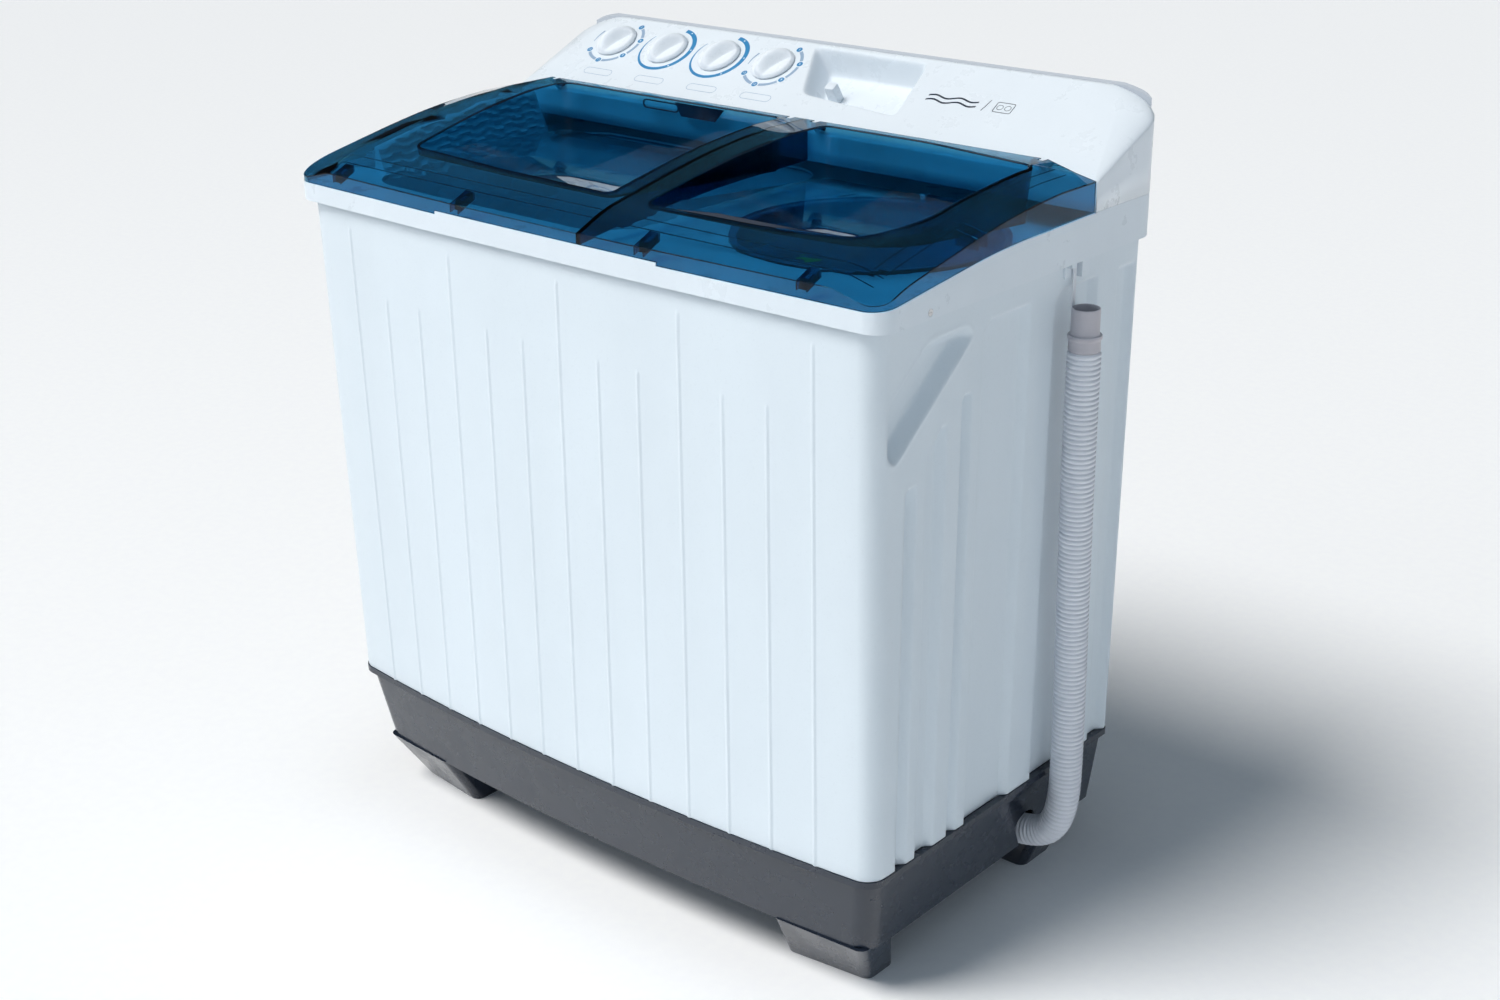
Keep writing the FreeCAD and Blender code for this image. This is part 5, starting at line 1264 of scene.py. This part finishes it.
def knob(body):
    """A white knob: bevelled skirt, shallow dish and a curved grip, steep on one side."""
    joint = JOINT_OF[body]
    centre = Vector(joint["pos_m"])
    turn = math.radians(GRIP_ANGLE)
    rings = [30.0 * (index / 44) ** 0.9 for index in range(1, 45)]
    sides = 120
    places, faces = [], []

    def place(radius, angle, height):
        along, across = radius * math.cos(angle), radius * math.sin(angle)
        right = along * math.cos(turn) - across * math.sin(turn)
        up = along * math.sin(turn) + across * math.cos(turn)
        places.append(on_panel(centre, right * MM, up * MM, height * MM))

    place(0, 0, knob_height(0, 0))
    for radius in rings:
        for number in range(sides):
            angle = 2 * math.pi * number / sides
            height = knob_height(radius * math.cos(angle), radius * math.sin(angle))
            edge = max(0.0, (radius - 26.0) / 4.0)
            place(radius, angle, height * (1 - edge ** 2) + 2.4 * edge ** 2)
    for radius, height in ((29.9, 1.2), (29.2, 0.8)):
        for number in range(sides):
            place(radius, 2 * math.pi * number / sides, height)
    place(0, 0, 0.8)
    for number in range(sides):
        faces.append((0, 1 + number, 1 + (number + 1) % sides))
    for row in range(len(rings) + 1):
        for number in range(sides):
            low, high = 1 + row * sides, 1 + (row + 1) * sides
            after = (number + 1) % sides
            faces.append((low + number, high + number, high + after, low + after))
    last, bottom = 1 + (len(rings) + 1) * sides, len(places) - 1
    for number in range(sides):
        faces.append((last + number, bottom, last + (number + 1) % sides))
    mesh = mesh_of(body + "_cap", places, faces)
    piece = new_piece(body + "_cap", mesh, MATERIALS["knob_white"], body)
    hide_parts(body)


def slab(flat, centre, low=0.02 * MM, high=0.14 * MM):
    """Points and faces of a thin printed shape; flat is a list of outlines in millimetres on the panel."""
    places, faces = [], []
    for outline in flat:
        first = len(places)
        count = len(outline)
        for lift in (low, high):
            places += [on_panel(centre, across * MM, up * MM, lift) for across, up in outline]
        faces.append(tuple(range(first + count, first + 2 * count)))
        faces.append(tuple(range(first + count - 1, first - 1, -1)))
        for index in range(count):
            after = (index + 1) % count
            faces.append((first + index, first + after, first + count + after, first + count + index))
    return places, faces


def clock(radius, degrees):
    """A point on a dial, in millimetres, by its clockwise angle from the top."""
    angle = math.radians(degrees)
    return (radius * math.sin(angle), radius * math.cos(angle))


def arc_band(start, end, inner_at, outer_at):
    """Quads that fill a band between two angles, so that each outline stays simple."""
    steps = max(2, round(abs(end - start) / 3))
    stops = [start + (end - start) * index / steps for index in range(steps + 1)]
    outer = [clock(outer_at(stop), stop) for stop in stops]
    return outer + [clock(inner_at(stop), stop) for stop in stops[::-1]]


def dot(degrees, radius, size):
    """The outline of a round spot on a dial."""
    centre = clock(radius, degrees)
    angles = [math.tau * step / 24 for step in range(24)]
    return [(centre[0] + size * math.cos(angle), centre[1] + size * math.sin(angle)) for angle in angles]


def rounded_rectangle(half_width, half_height, radius, middle):
    outline = []
    for side_x, side_y, start in ((1, 1, 0), (-1, 1, 90), (-1, -1, 180), (1, -1, 270)):
        for step in range(7):
            angle = math.radians(start + 15 * step)
            outline.append((middle[0] + side_x * (half_width - radius) + radius * math.cos(angle),
                            middle[1] + side_y * (half_height - radius) + radius * math.sin(angle)))
    return outline


def frame_outline(outer, inner):
    """Quads between two outlines with the same number of points."""
    count = len(outer)
    return [[outer[index], outer[(index + 1) % count], inner[(index + 1) % count], inner[index]]
            for index in range(count)]


def printed(name, flat, centre, ink, high=0.14 * MM):
    mesh = mesh_of(name, *slab(flat, centre, 0.02 * MM, high), 0)
    return new_piece(name, mesh, ink, ROOT)


def numeral(name, text, middle, centre, size):
    """One digit, standing on a printed dot."""
    curve = bpy.data.curves.new(name, "FONT")
    curve.body = text
    curve.size = size * MM
    curve.align_x = "CENTER"
    curve.align_y = "CENTER"
    curve.extrude = 0.03 * MM
    holder = bpy.data.objects.new(name, curve)
    bpy.context.scene.collection.objects.link(holder)
    across = Vector((1, 0, 0))
    spot = on_panel(centre, middle[0] * MM, middle[1] * MM, 0.20 * MM)
    turned = Matrix((across, PANEL_UP, PANEL_OUT)).transposed().to_4x4()
    bpy.context.view_layer.update()
    mesh = bpy.data.meshes.new_from_object(holder.evaluated_get(bpy.context.evaluated_depsgraph_get()))
    mesh.transform(Matrix.Translation(spot) @ turned)
    bpy.data.objects.remove(holder)
    new_piece(name, mesh, INK_WHITE, ROOT)


TIMER_DOTS = [30, 78, 128, 184, 236]
# Places on the panel, across and up: a label from its knob, and the mark from the first knob.
LABEL_PLACE = (15, -62)
MARK_PLACE = (539, -17)


def timer_dial(body):
    """A clockwork timer's scale: pale arcs between numbered dots."""
    centre = Vector(JOINT_OF[body]["pos_m"])
    arcs = []
    for start, end in zip(TIMER_DOTS, TIMER_DOTS[1:]):
        arcs.append(arc_band(start + 9, end - 9, lambda stop: 37.5, lambda stop: 42.0))
    arcs.append(arc_band(262, 296, lambda stop: 38.8, lambda stop: 39.8 + 1.6 * (stop - 262) / 34))
    printed(body + "_scale", arcs, centre, INK_PALE)
    printed(body + "_dots", [dot(stop, 39.8, 4.3) for stop in TIMER_DOTS], centre, INK_BLUE)
    for number, stop in enumerate(TIMER_DOTS):
        numeral(body + "_numeral_%d" % (number + 1), str(3 * (number + 1)), clock(39.8, stop), centre, 5.2)


def selector_dial(body):
    """A selector's scale: one sweep that widens from the upper left round to the top."""
    centre = Vector(JOINT_OF[body]["pos_m"])

    def width(stop):
        share = (300 - stop) / 300
        return 0.5 + 6.0 * math.sin(math.pi * min(1.0, share * 1.06) * 0.62)

    sweep = arc_band(300, 8, lambda stop: 43.0 - width(stop), lambda stop: 43.0)
    printed(body + "_scale", [sweep], centre, INK_BLUE)
    printed(body + "_dots", [dot(stop, 40.2, 1.1) for stop in (26, 84, 140)], centre, INK_WHITE, 0.20 * MM)


def dial_label(body):
    """The empty rounded frame below a dial."""
    centre = Vector(JOINT_OF[body]["pos_m"])
    outer = rounded_rectangle(25, 6.2, 6, LABEL_PLACE)
    inner = rounded_rectangle(24.4, 5.6, 5.4, LABEL_PLACE)
    printed(body + "_label", frame_outline(outer, inner), centre, INK_PALE)


def panel_mark():
    """A plain wave mark with a rule and two short bars, on the right of the console."""
    centre = Vector(JOINT_OF["wash_timer_knob"]["pos_m"])
    def wave(level, length, thickness):
        top, bottom = [], []
        for step in range(33):
            share = step / 32
            rise = 2.2 * math.sin(share * math.tau * 2)
            across = MARK_PLACE[0] + share * length
            top.append((across, MARK_PLACE[1] + level + rise + thickness))
            bottom.append((across, MARK_PLACE[1] + level + rise))
        return top + bottom[::-1]

    printed("panel_wave_mark", [wave(4, 74, 2.6), wave(-4, 74, 2.6)], centre, INK_DARK)
    rule = [(MARK_PLACE[0] + 84, MARK_PLACE[1] - 8), (MARK_PLACE[0] + 85, MARK_PLACE[1] - 8),
            (MARK_PLACE[0] + 89, MARK_PLACE[1] + 12), (MARK_PLACE[0] + 88, MARK_PLACE[1] + 12)]
    icon_outer = rounded_rectangle(13, 9, 3, (MARK_PLACE[0] + 112, MARK_PLACE[1] + 2))
    icon_inner = rounded_rectangle(12.1, 8.1, 2.1, (MARK_PLACE[0] + 112, MARK_PLACE[1] + 2))
    drums = []
    for offset in (-5.6, 5.6):
        ring = [dot(0, 0, 1)]
        middle = (MARK_PLACE[0] + 112 + offset, MARK_PLACE[1] + 2)
        outer = [(middle[0] + 4.4 * x, middle[1] + 4.4 * y) for x, y in ring[0]]
        inner = [(middle[0] + 3.7 * x, middle[1] + 3.7 * y) for x, y in ring[0]]
        drums += frame_outline(outer, inner)
    printed("panel_tub_mark", [rule] + frame_outline(icon_outer, icon_inner) + drums, centre, INK_DARK)


# ---------------------------------------------------------------- the whole machine
def build():
    camera()
    studio()
    floor()
    backdrop()
    paint_cad_nodes()
    hose_and_cuff()
    cabinet()
    control_panel()
    wash_tub()
    lid_details()
    for node, radius in (("base", 2.0), ("top_frame", 1.2), ("wash_lid", 0.7), ("spin_lid", 0.7)):
        rounded_copy(node, radius * MM)
    for body in KNOBS:
        knob(body)
        dial_label(body)
    timer_dial("wash_timer_knob")
    timer_dial("spin_timer_knob")
    selector_dial("wash_selector_knob")
    selector_dial("drain_selector_knob")
    panel_mark()


build()
